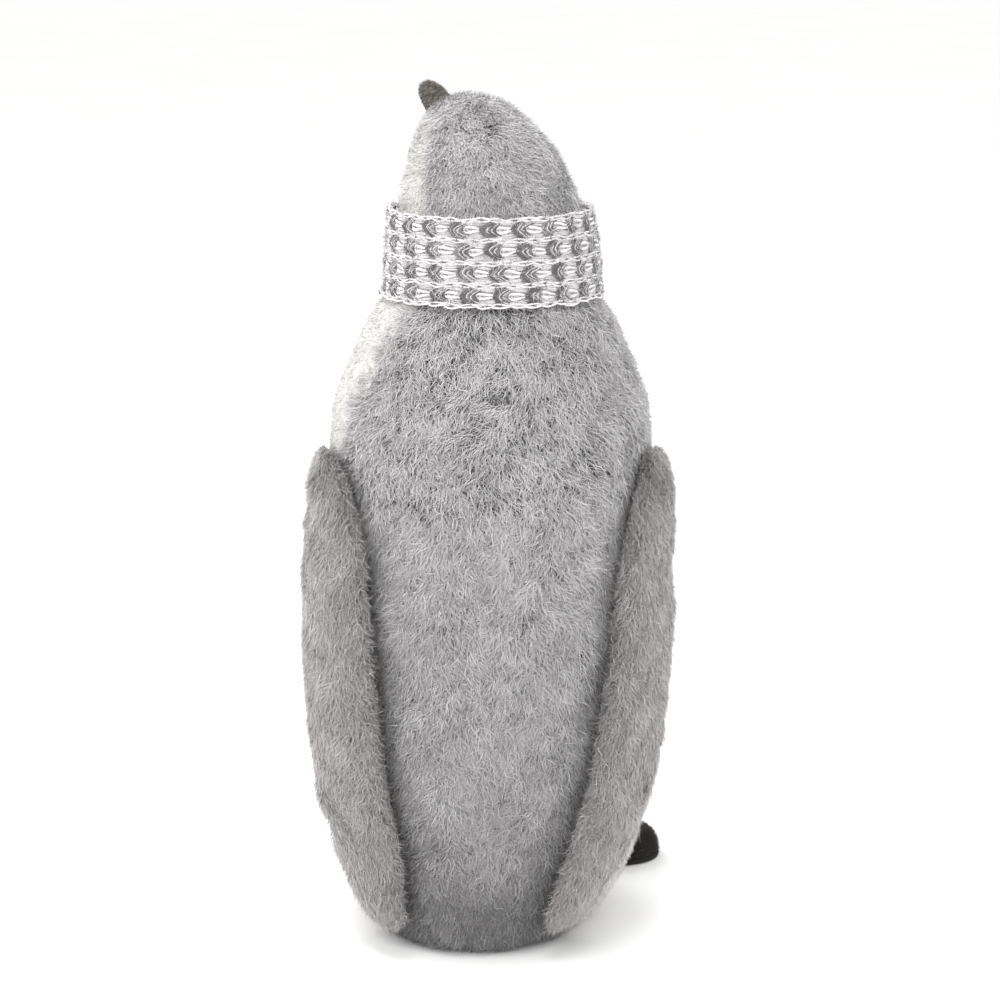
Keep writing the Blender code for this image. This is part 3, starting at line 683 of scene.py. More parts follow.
def make_body_fur(tones):
    """Grey fur on the back in bands from the base to the crown, none under the scarf."""
    cuts = [SURFACE.at_height(h * MM) for h in (1, 60, 115, 165, 215)] + [NECK_BELOW]
    names = ("back_fur_rim", "back_fur_low", "back_fur_middle", "back_fur_high", "back_fur_shoulder")
    bands = list(zip(names, cuts[:-1], cuts[1:])) + [("head_fur", NECK_ABOVE, CROWN)]
    for seed, (name, first, last) in enumerate(bands):
        rng = np.random.default_rng(seed + 5)
        s, a, share = scatter(fur_edges, first, last, CLUMPS, rng)
        point, normal, down = SURFACE.frame(s, a)
        height = point[:, 2]
        wing_press_and_shade = wing_shadow(s, a)
        fan = 0.45 * (share - 0.5) * ramp(height, 0.19, 0.29)
        seam = 1.2 * (np.clip(1 - share / 0.07, 0, 1) - np.clip(1 - (1 - share) / 0.07, 0, 1))
        turn = 0.3 * waves(point, 45 * MM, 3) + 0.2 * waves(point, 15 * MM, 4) + fan - seam
        down = turned_towards(down, normal, turn)
        length = HEAD_FUR_LENGTH if name == "head_fur" else FUR_LENGTH
        length = length * (1 + 0.12 * waves(point, 18 * MM, 8))
        lift = 0.42 - 0.16 * ramp(height, 0.17, 0.27) + 0.1 * seam**2
        lift = (lift + 0.1 * waves(point, 22 * MM, 12)) * (1 - 0.6 * wing_press_and_shade)
        # Painted shade: the fur is painted darker under and beside the wings and towards the base, and
        # lighter towards the crown, standing in for light and shade.
        darkening = 2.6 * wing_press_and_shade + np.interp(height + 4 * MM * waves(point, 30 * MM, 14), PAINTED_SHADE_HEIGHTS, PAINTED_SHADE_STEPS)
        grow_fur(name, "body", point - FUR_DEPTH * normal, normal, down, tones, length, lift, darkening, rng)
        s, a, _ = scatter(back_edges, first, last, UNDERFUR_COUNT, rng)
        point, normal, down = SURFACE.frame(s, a)
        # Painted shade: the underfur of the lowest band takes darker tones, as shade where the body turns
        # under at the base.
        shades = tones[1:4] if name == "back_fur_rim" else tones[2:5]
        place = point - FUR_DEPTH * normal
        grow_plush(
            name + "_underfur", "body", place, normal, down, shades, 5.0 * MM, 0.8, 0.7 * MM, rng
        )


def wing_shadow(s, a):
    """How far a wing's shade falls on the fur of the back: 1 under it, 0 away from it. The fur there is
    pressed flatter and painted darker as shade.
    """
    height = SURFACE.values(s)[..., 2]
    rest = np.zeros(len(s))
    for side, reach in (("left", 0.16), ("right", 0.28)):
        beside = np.clip(height, WING_TIP * MM, WING_TOP * MM)
        trail = wing_angle(side, beside, np.full(len(s), WING_TRAIL[side]))
        past = a - trail if side == "left" else trail - a
        inside = np.clip(1 - past / reach, 0, 1) ** 1.5 * (np.abs(a - trail) < 1.2)
        rest = np.maximum(rest, inside * np.clip((215 * MM - height) / (90 * MM), 0, 1))
    return rest


def make_front_plush(tones, face_lit_tones):
    waist = SURFACE.at_height(155 * MM)
    bands = [
        ("belly_plush", SURFACE.at_height(1 * MM), waist, 40000, tones),
        ("chest_plush", waist, NECK_BELOW, 38000, tones),
        # Painted light: the face's plush uses the brighter tones.
        ("face_plush", NECK_ABOVE, CROWN, 18000, face_lit_tones),
    ]
    for name, first, last, count, shades in bands:
        rng = np.random.default_rng(count)
        s, a, _ = scatter(front_edges, first, last, count, rng)
        point, normal, down = SURFACE.frame(s, a)
        place = point - (PLUSH_DEPTH + foot_dent(point))[:, None] * normal
        grow_plush(name, "body", place, normal, down, shades, 3.0 * MM, 0.6, 0.42 * MM, rng)


BASE_SHIFT = 5 * MM
BASE_HALF_WIDTH = 52.5 * MM
BASE_DEPTHS = (63.5 * MM, 50.5 * MM)
BASE_BOTTOM = 0.1 * MM
BASE_TOP = 2.0 * MM


def make_base(felt):
    """Felt disc under the base, with a row of puckers inside its stitched rim."""
    rings, segments = 12, 96
    share = np.linspace(0.02, 1, rings)
    turn = np.linspace(0, math.tau, segments, endpoint=False)
    ring, angle = np.meshgrid(share, turn, indexing="ij")
    depth = np.where(np.sin(angle) > 0, *BASE_DEPTHS)
    x = BASE_SHIFT + BASE_HALF_WIDTH * ring * np.cos(angle)
    y = depth * ring * np.sin(angle)
    dent = 1 - foot_dent(np.stack([x, y, 0 * x], -1)) * ring**4 / (60 * MM)
    x, y = x * dent, y * dent
    pucker = 0.25 * MM * np.clip((ring - 0.8) / 0.2, 0, 1) * (1 + np.sin(40 * angle))
    low = np.stack([x, y, BASE_BOTTOM + pucker], -1)
    high = np.stack([x, y, np.full_like(x, BASE_TOP)], -1)
    mesh = shell_mesh("base_disc", low, high, closed=True)
    disc = link_mesh("base_disc", mesh, [felt], "body")
    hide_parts("base_panel", "base_board")


# ------------------------------------------------------------------ wings

WING_TOP, WING_TIP = WING_STATIONS[0][0], WING_STATIONS[-1][0]
WING_LEAD = 0.04


def wing_angle(side, height, across):
    """Angle round the body of a place on a wing."""
    h = height / MM
    lead, trail = smooth_table(WING_STATIONS, h, 1), smooth_table(WING_STATIONS, h, 2)
    down = (WING_TOP - h) / (WING_TOP - WING_TIP)
    angle = np.radians(lead + (trail - lead) * across + WING_HANG[side] * down)
    return angle if side == "left" else math.pi - angle


def level_point(height, angle, offset):
    """Point above the body's surface, moved out level with the ground."""
    s = SURFACE.at_height(height)
    v = SURFACE.values(s)
    depth = np.where(np.sin(angle) > 0, v[..., 7], v[..., 10])
    normal = unit(np.stack([np.cos(angle) / v[..., 3], np.sin(angle) / depth, 0 * angle], -1))
    point = SURFACE.point(s, angle)
    point[..., 2] = height
    return point + offset[..., None] * normal, normal


def wing_offsets(side, height, across):
    """Distances from the body to the wing's inner face and to its outer core."""
    h = height / MM
    wadding, cloth = smooth_table(WING_STATIONS, h, 3), smooth_table(WING_STATIONS, h, 4)
    down = (WING_TOP - h) / (WING_TOP - WING_TIP)
    stand_off = WING_STAND_OFF[side] + 3.0 * MM * across
    lift = 0.8 * MM + stand_off * np.minimum(1, 4 * down)
    lens = 3.4 * MM * wadding * (1 - (2 * across - 1) ** 2)
    inner = lift + 0.7 * MM
    outer = lift + 2.2 * MM * cloth + lens + 1.4 * MM * cloth
    return inner, outer


def wing_normals(grid):
    along = np.gradient(grid, axis=0)
    around = np.gradient(grid, axis=1)
    normal = unit(np.cross(around, along))
    return normal, unit(along)


def make_wing(side, fur_base, lining, tones, lining_tones):
    rows, columns = 70, 26
    height = np.linspace(17, 230.5, rows)[:, None].repeat(columns, 1) * MM
    across = np.linspace(WING_LEAD, WING_TRAIL[side], columns)[None].repeat(rows, 0)
    angle = wing_angle(side, height, across)
    inner_offset, outer_offset = wing_offsets(side, height, across)
    outer, _ = level_point(height, angle, outer_offset)
    inner, _ = level_point(height, angle, inner_offset)
    name = side + "_wing"
    mesh = shell_mesh(name + "_core", outer, inner)
    core = link_mesh(name + "_core", mesh, [fur_base, lining], name)
    count = (rows - 1) * (columns - 1)
    for polygon in list(core.data.polygons)[count : 2 * count]:
        polygon.material_index = 1
    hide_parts(name + "_fur", name + "_wadding", name + "_lining")
    sign = 1 if side == "left" else -1
    normal, up = wing_normals(outer)
    normal = sign * normal
    for seed, part in enumerate(("_fur_pile", "_fur_top_coat")):
        rng = np.random.default_rng(20 + 2 * sign + seed)
        where = pick_cells(outer, CLUMPS, rng)
        point, n, d = where(outer), unit(where(normal)), -unit(where(up))
        share = (where(across[..., None])[:, 0] - WING_LEAD) / (WING_TRAIL[side] - WING_LEAD)
        outward = 0.08 + 0.25 * ramp(share, 0.75, 1) ** 2 - 0.3 * np.clip(1 - share / 0.2, 0, 1)
        d = turned_towards(d, n, sign * outward + 0.2 * waves(point, 30 * MM, 21))
        length = FUR_LENGTH * (1 + 0.12 * waves(point, 16 * MM, 22))
        length = length * np.clip((point[:, 2] - 0.004) / 0.02, 0.45, 1)
        lift = 0.34 + 0.1 * waves(point, 20 * MM, 23)
        root = ramp(point[:, 2], 0.2, 0.22) * ramp(share, 0.3, 0.6)
        # Painted shade: the left wing's fur is painted darker than the right wing's, as shade on that side;
        # on both it is also darker towards the root and the back edge.
        darkening = (0.6 if side == "left" else 0.3) + 1.6 * root + 0.9 * ramp(share, 0.7, 1)
        grow_fur(name + part, name, point, n, d, tones, length, lift, darkening, rng)
    where = pick_cells(outer, UNDERFUR_COUNT, rng)
    point, n, d = where(outer), unit(where(normal)), -unit(where(up))
    grow_plush(name + "_underfur", name, point, n, d, tones[1:4], 4.5 * MM, 0.8, 0.7 * MM, rng)
    edge_fur(side, outer, inner, tones)
    rng = np.random.default_rng(40 + sign)
    where = pick_cells(inner, LINING_TUFTS, rng)
    point, n, d = where(inner), -unit(where(normal)), -unit(where(up))
    pile = name + "_lining_pile"
    grow_plush(pile, name, point, n, d, lining_tones, 2.0 * MM, 0.5, 0.5 * MM, rng)


def pick_cells(grid, count, rng):
    """Random places on a grid of points, spread evenly by area, as a lookup into other grids."""
    around = grid[:-1, 1:] - grid[:-1, :-1]
    along = grid[1:, :-1] - grid[:-1, :-1]
    area = np.linalg.norm(np.cross(around, along), axis=-1).ravel()
    picks = rng.choice(area.size, count, p=area / area.sum())
    i, j = np.divmod(picks, grid.shape[1] - 1)
    u, v = rng.random(count)[:, None], rng.random(count)[:, None]

    def where(values):
        low = values[i, j] * (1 - v) + values[i, j + 1] * v
        high = values[i + 1, j] * (1 - v) + values[i + 1, j + 1] * v
        return low * (1 - u) + high * u

    return where


def edge_fur(side, outer, inner, tones):
    """Longer fur along the wing's edges and its tip."""
    rng = np.random.default_rng(78 if side == "left" else 76)
    loops = [
        (outer[:, -1], inner[:, -1], outer[:, -1] - outer[:, -2], 700, 0.2),
        (outer[:, 0], inner[:, 0], outer[:, 0] - outer[:, 1], 400, 0.35),
        (outer[0], inner[0], outer[0] - outer[1], 90, 0.8),
        (outer[-1], inner[-1], outer[-1] - outer[-2], 90, 0.2),
    ]
    place, normal, lie = [], [], []
    for top, bottom, away, count, share in loops:
        t = rng.random(count) * (len(top) - 1)
        i = np.minimum(t.astype(int), len(top) - 2)
        f = (t - i)[:, None]
        high, low = top[i] * (1 - f) + top[i + 1] * f, bottom[i] * (1 - f) + bottom[i + 1] * f
        out = unit(away[i] * (1 - f) + away[i + 1] * f)
        mix = rng.uniform(0.1, 0.95, count)[:, None]
        place.append(low * (1 - mix) + high * mix)
        normal.append(unit(high - low))
        lie.append(unit(share * out + (1 - share) * np.array([0, 0, -1.0])))
    place, normal, lie = map(np.concatenate, (place, normal, lie))
    normal = unit(normal - (normal * lie).sum(-1, keepdims=True) * lie)
    count = len(place)
    length = 7.5 * MM * np.clip((place[:, 2] - 0.002) / 0.02, 0.4, 1)
    lift, darkening = np.full(count, 0.12), np.full(count, 0.8)
    name = side + "_wing"
    grow_fur(name + "_edge_fur", name, place, normal, lie, tones, length, lift, darkening, rng, spread=1.0)


# ------------------------------------------------------------------ scarf

BAND_RADIUS = 49.5 * MM
CLOTH_LIFT = 0.8 * MM
CLOTH_THICKNESS = 2.2 * MM
CLOTH_HALF = 17.6 * MM
HALF_STRIP = 19.5 * MM
KNOT_RADIUS = 19 * MM
PATTERN_ROWS = 4
ROW_PITCH = 10.1 * MM
ROW_SKEW = 1.8 * MM
REPEAT = 14.8 * MM
PATH_STEPS = 9
# Yarn tones to draw from, 0 dark to 5 white.
DARK_MIX = (0, 0, 0, 1, 1, 2)
PALE_MIX = (3, 4, 4)
WHITE_MIX = (5,)


def band_map(u, v, w):
    """Round the neck: u along the strip, v up it, w above it."""
    height = 0.5 * (SCARF_TOP + SCARF_BOTTOM) + v
    angle = u / BAND_RADIUS + math.radians(SCARF_KNOT_ANGLE)
    flare = -1.8 * MM * np.clip(-v / (19 * MM), -0.2, 1) ** 2
    return level_point(height, angle, CLOTH_LIFT + CLOTH_THICKNESS + w + flare)[0]


def tail_map(side):
    rows = SCARF_END_STATIONS[side]
    extra = 1.4 * MM if side == "left" else 0.0
    top = rows[0][0] * MM

    def at(u, v, w):
        height = top - u
        turn = smooth_table(rows, height / MM, 1)
        radius = smooth_table(BODY_STATIONS, height / MM, 1) * MM
        sway = 1.5 * MM * np.sin(u / (22 * MM))
        angle = np.radians(SCARF_KNOT_ANGLE + turn) + (0.78 * v + sway) / radius
        lift = CLOTH_LIFT + CLOTH_THICKNESS + extra + w + 2.2 * MM * (v / HALF_STRIP) ** 4
        return level_point(height, angle, lift)[0]

    return at


def knot_map(u, v, w):
    """Over the knot from below to above; v runs across it."""
    angle = math.radians(SCARF_KNOT_ANGLE)
    middle = 0.5 * (SCARF_TOP + SCARF_BOTTOM)
    half_width, depth, half_height = SCARF_KNOT_HALF_SIZE
    centre, normal = level_point(np.array(middle), np.array(angle), np.array(CLOTH_LIFT + depth))
    across = np.array([-math.sin(angle), math.cos(angle), 0])
    theta = u / KNOT_RADIUS
    pinch = 1 - 0.25 * np.clip(np.abs(theta) - 0.7, 0, 1)
    side = v / HALF_STRIP
    bulge = np.sqrt(np.clip(1 - (0.93 * side) ** 2, 0.05, 1))
    x = (half_width * pinch + 0.2 * w) * side
    y = (depth + w) * np.cos(theta) * bulge
    z = (half_height + w) * np.sin(theta)
    return centre + x[..., None] * across + y[..., None] * normal + z[..., None] * np.array([0, 0, 1.0])


def knit_paths(repeats, start):
    """Yarn paths of the pattern on a flat strip, with the tone and the radius of each."""
    t = np.linspace(-1, 1, PATH_STEPS)
    x = np.linspace(0, 1, PATH_STEPS)
    paths, tones, sizes = [], [], []
    rng = np.random.default_rng(5)

    def add(u, v, w, tones_of, size):
        paths.append(np.stack([u, v, w + 0 * u], -1))
        tones.append(int(rng.choice(tones_of)))
        sizes.append(size * MM)

    for row in range(PATTERN_ROWS):
        middle = (row - 0.5 * (PATTERN_ROWS - 1)) * ROW_PITCH
        for step in range(repeats):
            jitter = rng.normal(0, 0.4 * MM, 4)
            u0 = start + step * REPEAT - row * ROW_SKEW + jitter[0]
            v0 = middle + jitter[1]
            for k in range(7):
                reach = (4.3 - 0.28 * k + 0.2 * rng.normal()) * MM
                bend = (5.6 - 0.3 * k + 0.5 * rng.normal()) * MM
                u = u0 + 0.95 * k * MM + bend * np.abs(t) ** 1.5 + 0.5 * MM * rng.normal() * t
                w = (1.5 - 0.8 * np.abs(t) + 0.05 * k) * MM
                pale = k in (3, 5)
                add(u, v0 + reach * t, w, WHITE_MIX if pale else DARK_MIX, 0.26 if pale else 0.46)
            for sign in (-1, 1):
                for k, wide in enumerate((1.15, 0.6)):
                    first = (7.4 + 1.3 * k) * MM
                    u = u0 + first + (REPEAT + 0.8 * MM - first) * x
                    v = v0 + sign * (wide * np.sin(math.pi * x**0.55) * (1 - 0.35 * x) + 0.3) * MM
                    w = (1.8 - 0.9 * (2 * x - 1) ** 2) * MM
                    add(u, v, w, WHITE_MIX, 0.56 - 0.12 * k)
                for k in range(4):
                    first = (3.4 + 1.5 * k + 0.5 * rng.normal()) * MM
                    u = u0 + first + (REPEAT - 0.8 * first) * x
                    v = v0 + sign * (4.7 - 0.75 * k - (0.2 + 0.35 * rng.random()) * x) * MM
                    w = (1.0 - 0.6 * (2 * x - 1) ** 2) * MM
                    add(u, v, w, PALE_MIX, 0.42)
    for row in range(PATTERN_ROWS + 1):
        middle = (row - 0.5 * PATTERN_ROWS) * ROW_PITCH
        if row in (0, PATTERN_ROWS):
            middle *= 0.955
        for step in range(repeats * 2):
            u0 = start + step * 0.5 * REPEAT - row * ROW_SKEW + 0.3 * MM * rng.normal()
            for sign in (-1, 1):
                u = u0 + 8.4 * MM * x
                v = middle + sign * (0.62 * np.sin(math.pi * x**0.7) + 0.12) * MM
                add(u, v, (1.35 - 0.8 * (2 * x - 1) ** 2) * MM, WHITE_MIX, 0.48)
            u = u0 + (3.4 + 1.3 * x) * MM
            add(u, middle + 0.1 * MM * rng.normal() + 0 * u, 1.5 * MM, DARK_MIX, 0.42)
    return np.array(paths), np.array(tones), np.array(sizes)


def knit_region(name, mapper, repeats, tones, fuzz, rng, start=0.0, length=None):
    """Yarns of one stretch of the scarf, and the loose fibres on them."""
    paths, tone, size = knit_paths(repeats, start)
    if length:
        keep = (paths[:, :, 0].min(1) >= -1 * MM) & (paths[:, :, 0].max(1) <= length + 4 * MM)
        paths, tone, size = paths[keep], tone[keep], size[keep]
    for k in range(3):
        paths[..., k] += 0.25 * MM * waves(paths, 9 * MM, 30 + k)
    u, v, w = paths[..., 0], paths[..., 1], paths[..., 2]
    points = mapper(u, v, w)
    ups = unit(mapper(u, v, w + 0.5 * MM) - points)
    radius = size[:, None] * (0.55 + 0.45 * np.sin(math.pi * np.linspace(0.08, 0.92, PATH_STEPS)))[None]
    mesh = tube_mesh(name + "_yarn", points, ups, radius, tone)
    yarn = link_mesh(name + "_yarn", mesh, tones, "body")
    return [yarn, knit_fuzz(name + "_fuzz", points, ups, tone, fuzz, tones, rng)]


def knit_fuzz(name, points, ups, tone, count, tones, rng):
    """Loose fibres standing off the yarns."""
    pick = rng.integers(0, len(points), count)
    step = rng.integers(1, points.shape[1] - 1, count)
    root, up = points[pick, step], ups[pick, step]
    along = unit(points[pick, step + 1] - points[pick, step - 1])
    side = np.cross(along, up)
    turn = rng.uniform(0, math.tau, count)[:, None]
    lie = np.cos(turn) * along + np.sin(turn) * side
    rise = rng.uniform(0.05, 0.75, count)[:, None]
    first = unit(lie + rise * up)
    bend = unit(first + 0.42 * rng.normal(size=(count, 3)))
    reach = rng.uniform(1.8, 4.2, count)[:, None] * MM
    middle = root + 0.5 * reach * first
    tip = middle + 0.5 * reach * bend
    width = rng.uniform(0.12, 0.22, count) * MM
    shade = np.clip(tone[pick] + rng.integers(-1, 2, count), 0, len(tones) - 1)
    mesh = strand_mesh(name, root, middle, tip, up, width, shade, shade)
    return link_mesh(name, mesh, tones, "body")


def cloth_grid(mapper, u_values, v_values, w):
    u, v = np.meshgrid(u_values, v_values, indexing="ij")
    return mapper(u, v, np.full_like(u, w))


def strip_mesh(name, mapper, u, closed=False):
    """Cloth under a stretch of the knit."""
    edge = np.linspace(-CLOTH_HALF, CLOTH_HALF, 24)
    faces = [cloth_grid(mapper, u, edge, w) for w in (0.0, -CLOTH_THICKNESS)]
    if closed:
        faces = [face.transpose(1, 0, 2) for face in faces]
    return shell_mesh(name, *faces, closed=closed)


def end_length(side):
    rows = SCARF_END_STATIONS[side]
    return (rows[0][0] - rows[-1][0]) * MM


def make_scarf_cloth(cloth):
    """The band and both ends, as one cloth."""
    turns = np.linspace(0, math.tau * BAND_RADIUS, 120, endpoint=False)
    parts = [strip_mesh("scarf_band", band_map, turns, closed=True)]
    for side in ("left", "right"):
        parts.append(strip_mesh("scarf_tail", tail_map(side), np.linspace(0, end_length(side), 50)))
    data = bmesh.new()
    for part in parts:
        data.from_mesh(part)
        bpy.data.meshes.remove(part)
    mesh = bpy.data.meshes.new("scarf_cloth")
    data.to_mesh(mesh)
    data.free()
    scarf = link_mesh("scarf_cloth", mesh, [cloth], "body")
    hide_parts("scarf")
    return scarf


def make_knot_pad(cloth):
    u = np.linspace(-1.5, 1.5, 30) * KNOT_RADIUS
    top = cloth_grid(knot_map, u, np.linspace(-CLOTH_HALF, CLOTH_HALF, 24), -0.4 * MM)
    middle = 0.5 * (top[:, :1] + top[:, -1:])
    _, normal = level_point(np.array(0.32), np.array(math.radians(SCARF_KNOT_ANGLE)), np.array(0.0))
    back = middle - 1.0 * MM * normal + 0.8 * (top - middle) * (1 - np.abs(normal))
    knot = link_mesh("scarf_knot_pad", shell_mesh("scarf_knot_pad", top, back), [cloth], "body")
    return knot


def make_scarf(tones, cloth):
    scarf = make_scarf_cloth(cloth)
    knot = make_knot_pad(cloth)
    pieces = []
    rng = np.random.default_rng(3)
    for name, first, repeats in (("scarf_band_right", 0, 11), ("scarf_band_left", 11, 10)):
        pieces += knit_region(name, band_map, repeats, tones, 10000, rng, start=first * REPEAT)
    for side in ("left", "right"):
        reach = end_length(side)
        name = "scarf_" + side + "_end"
        pieces += knit_region(name, tail_map(side), 8, tones, 2200, rng, start=-4 * MM, length=reach)
        pieces.append(make_fringe(side, reach, tones, rng))
    pieces += knit_region("scarf_knot", knot_map, 4, tones, 1200, rng, start=-1.4 * KNOT_RADIUS)


def make_fringe(side, reach, tones, rng):
    """Short knotted fringe at the end of a scarf's strip."""
    mapper = tail_map(side)
    count = 26
    v = np.linspace(-0.95, 0.95, count) * HALF_STRIP
    x = np.linspace(0, 1, PATH_STEPS)
    u = reach - 2 * MM + x[None] * rng.uniform(9, 12.5, count)[:, None] * MM
    v = v[:, None] + 1.4 * MM * x[None] * rng.normal(size=(count, 1))
    w = -0.6 * MM + 0.8 * MM * rng.normal(size=(count, 1)) * x[None]
    points = mapper(u, v, w)
    ups = unit(mapper(u, v, w + 0.5 * MM) - points)
    radius = np.full((count, PATH_STEPS), 0.7 * MM) * (1 - 0.45 * x[None])
    tone = rng.choice([1, 3, 4, 5], count)
    name = "scarf_" + side + "_fringe"
    return link_mesh(name, tube_mesh(name, points, ups, radius, tone), tones, "body")


# ------------------------------------------------------------------ beak and eyes


def head_axes():
    left = Vector((0, 0, 1)).cross(BEAK_DIRECTION).normalized()
    return left, BEAK_DIRECTION.cross(left)


def make_beak(felt, tones):
    left, crown = (np.array(v) for v in head_axes())
    forward = np.array(BEAK_DIRECTION)
    base = SURFACE.rows[-2, :3]
    x = np.linspace(0, 1, 26)
    share = 1 - (1 - np.clip((x - 0.12) / 0.88, 0, 1)) ** 1.8
    along = np.where(x < 0.12, -2.8 * MM * (1 - x / 0.12), BEAK_LENGTH * share)
    radius = BEAK_RADIUS * np.clip(1 - share**3.8, 0.0, 1) ** 0.5 * (1 - 0.2 * share)
    radius[-1] = 0.06 * BEAK_RADIUS
    for name, sign in (("upper", 1), ("lower", -1)):
        turn = np.linspace(0, math.pi, 20)
        arc_x, arc_y = np.cos(turn), 0.92 * np.sin(turn) ** 0.85
        flat_x = np.linspace(-1, 1, 14)[1:-1]
        flat_y = 0.035 + 0.02 * np.cos(3 * flat_x)
        cx, cy = np.concatenate([arc_x, flat_x]), np.concatenate([arc_y, flat_y])
        ring = radius[:, None] * cx[None]
        rise = radius[:, None] * cy[None] + 0.12 * MM
        centre = base + along[:, None] * forward - (BEAK_DROOP * share**2)[:, None] * crown
        grid = centre[:, None] + ring[..., None] * left + sign * rise[..., None] * crown
        mesh = lofted(name + "_beak_felt", grid)
        piece = link_mesh(name + "_beak_felt", mesh, [felt], "body")
        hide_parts(name + "_beak")
        rng = np.random.default_rng(60 + sign)
        count = 1500
        outer = grid[2:, :20]
        where = pick_cells(outer, count, rng)
        normal, _ = wing_normals(outer)
        point, n = where(outer), unit(where(normal))
        n *= np.sign((n * (point - (base + 0.3 * BEAK_LENGTH * forward))).sum(-1, keepdims=True))
        lie = unit(np.cross(n, forward)) * rng.choice([-1, 1], count)[:, None]
        lie = unit(lie * 0.9 + forward * rng.normal(0.1, 0.5, count)[:, None])
        reach = rng.uniform(2.2, 4.2, count)[:, None] * MM
        middle = point + 0.5 * reach * unit(lie + 0.25 * n)
        tip = middle + 0.5 * reach * unit(lie - 0.35 * n)
        tone = rng.integers(0, len(tones), count)
        fuzz = strand_mesh(
            name + "_beak_fibres", point, middle, tip, n, rng.uniform(0.25, 0.42, count) * MM, tone, tone
        )
        link_mesh(name + "_beak_fibres", fuzz, tones, "body")


def head_reach(direction):
    """Distance from the head's centre to its surface along a direction."""
    s = np.linspace(SURFACE.at_height(0.343), SURFACE.top, 200)
    a = np.linspace(0, math.tau, 240)
    grid = SURFACE.point(np.repeat(s[:, None], 240, 1), np.repeat(a[None], 200, 0)) - np.array(HEAD_CENTRE)
    grid = grid.reshape(-1, 3)
    match = (unit(grid) * np.array(direction)).sum(-1)
    return np.linalg.norm(grid[match.argmax()])


def moved(points, matrix):
    return points @ matrix[:3, :3].T + matrix[:3, 3]


def turned(profile, placement, segments=40):
    radius, height = np.array(profile).T
    turn = np.linspace(0, math.tau, segments, endpoint=False)
    grid = np.stack(
        [radius[:, None] * np.cos(turn), radius[:, None] * np.sin(turn), height[:, None] + 0 * turn], -1
    )
    return moved(grid, np.array(placement))


def make_eyes(plastic):
    left, crown = head_axes()
    for side, sign in (("left", 1), ("right", -1)):
        across = math.cos(EYE_BELOW_SIDE) * sign * left - math.sin(EYE_BELOW_SIDE) * crown
        outward = math.cos(EYE_FROM_BEAK) * BEAK_DIRECTION + math.sin(EYE_FROM_BEAK) * across
        seat = HEAD_CENTRE + outward * head_reach(outward)
        placement = Matrix.Translation(seat) @ outward.to_track_quat("Z", "Y").to_matrix().to_4x4()
        dome = [(1.5 * MM, -9 * MM), (1.5 * MM, -1.4 * MM), (EYE_RADIUS * 0.97, -1.2 * MM)]
        for k in range(12):
            angle = 0.5 * math.pi * k / 12
            dome.append((EYE_RADIUS * math.cos(angle), -0.6 * MM + (EYE_HEIGHT + 0.4 * MM) * math.sin(angle)))
        dome.append((0.02 * MM, EYE_HEIGHT - 0.2 * MM))
        mesh = lofted(side + "_eye_dome", turned(dome, placement))
        eye = link_mesh(side + "_eye_dome", mesh, [plastic], "body")
        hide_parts(side + "_eye")


# ------------------------------------------------------------------ feet


def foot_outline(count):
    """Outline of a foot from its heel round the toe, with the nearest place on its middle line."""
    lean = math.asin((FOOT_TOE_RADIUS - FOOT_HEEL_RADIUS) / FOOT_TOE_DISTANCE)
    wrap = 0.5 * math.pi + lean
    side = FOOT_TOE_DISTANCE * math.cos(lean)
    lengths = [2 * wrap * FOOT_TOE_RADIUS, side, (math.tau - 2 * wrap) * FOOT_HEEL_RADIUS, side]
    total = sum(lengths)
    outline, spine = [], []
    for i in range(count):
        at = total * i / count
        toe = (FOOT_TOE_DISTANCE, 0)
        if at < lengths[0]:
            a = -wrap + at / FOOT_TOE_RADIUS
            outline.append((toe[0] + FOOT_TOE_RADIUS * math.cos(a), FOOT_TOE_RADIUS * math.sin(a)))
            spine.append(toe)
            continue
        at -= lengths[0]
        if at < lengths[1] or at >= lengths[1] + lengths[2]:
            up = 1 if at < lengths[1] else -1
            f = at / side if up == 1 else 1 - (at - lengths[1] - lengths[2]) / side
            a = wrap
            start = (toe[0] + FOOT_TOE_RADIUS * math.cos(a), FOOT_TOE_RADIUS * math.sin(a))
            end = (FOOT_HEEL_RADIUS * math.cos(a), FOOT_HEEL_RADIUS * math.sin(a))
            outline.append(
                (start[0] + f * (end[0] - start[0]), up * (start[1] + f * (end[1] - start[1])))
            )
            spine.append((toe[0] * (1 - f), 0))
            continue
        a = wrap + (at - lengths[1]) / FOOT_HEEL_RADIUS
        outline.append((FOOT_HEEL_RADIUS * math.cos(a), FOOT_HEEL_RADIUS * math.sin(a)))
        spine.append((0, 0))
    return np.array(outline), np.array(spine)


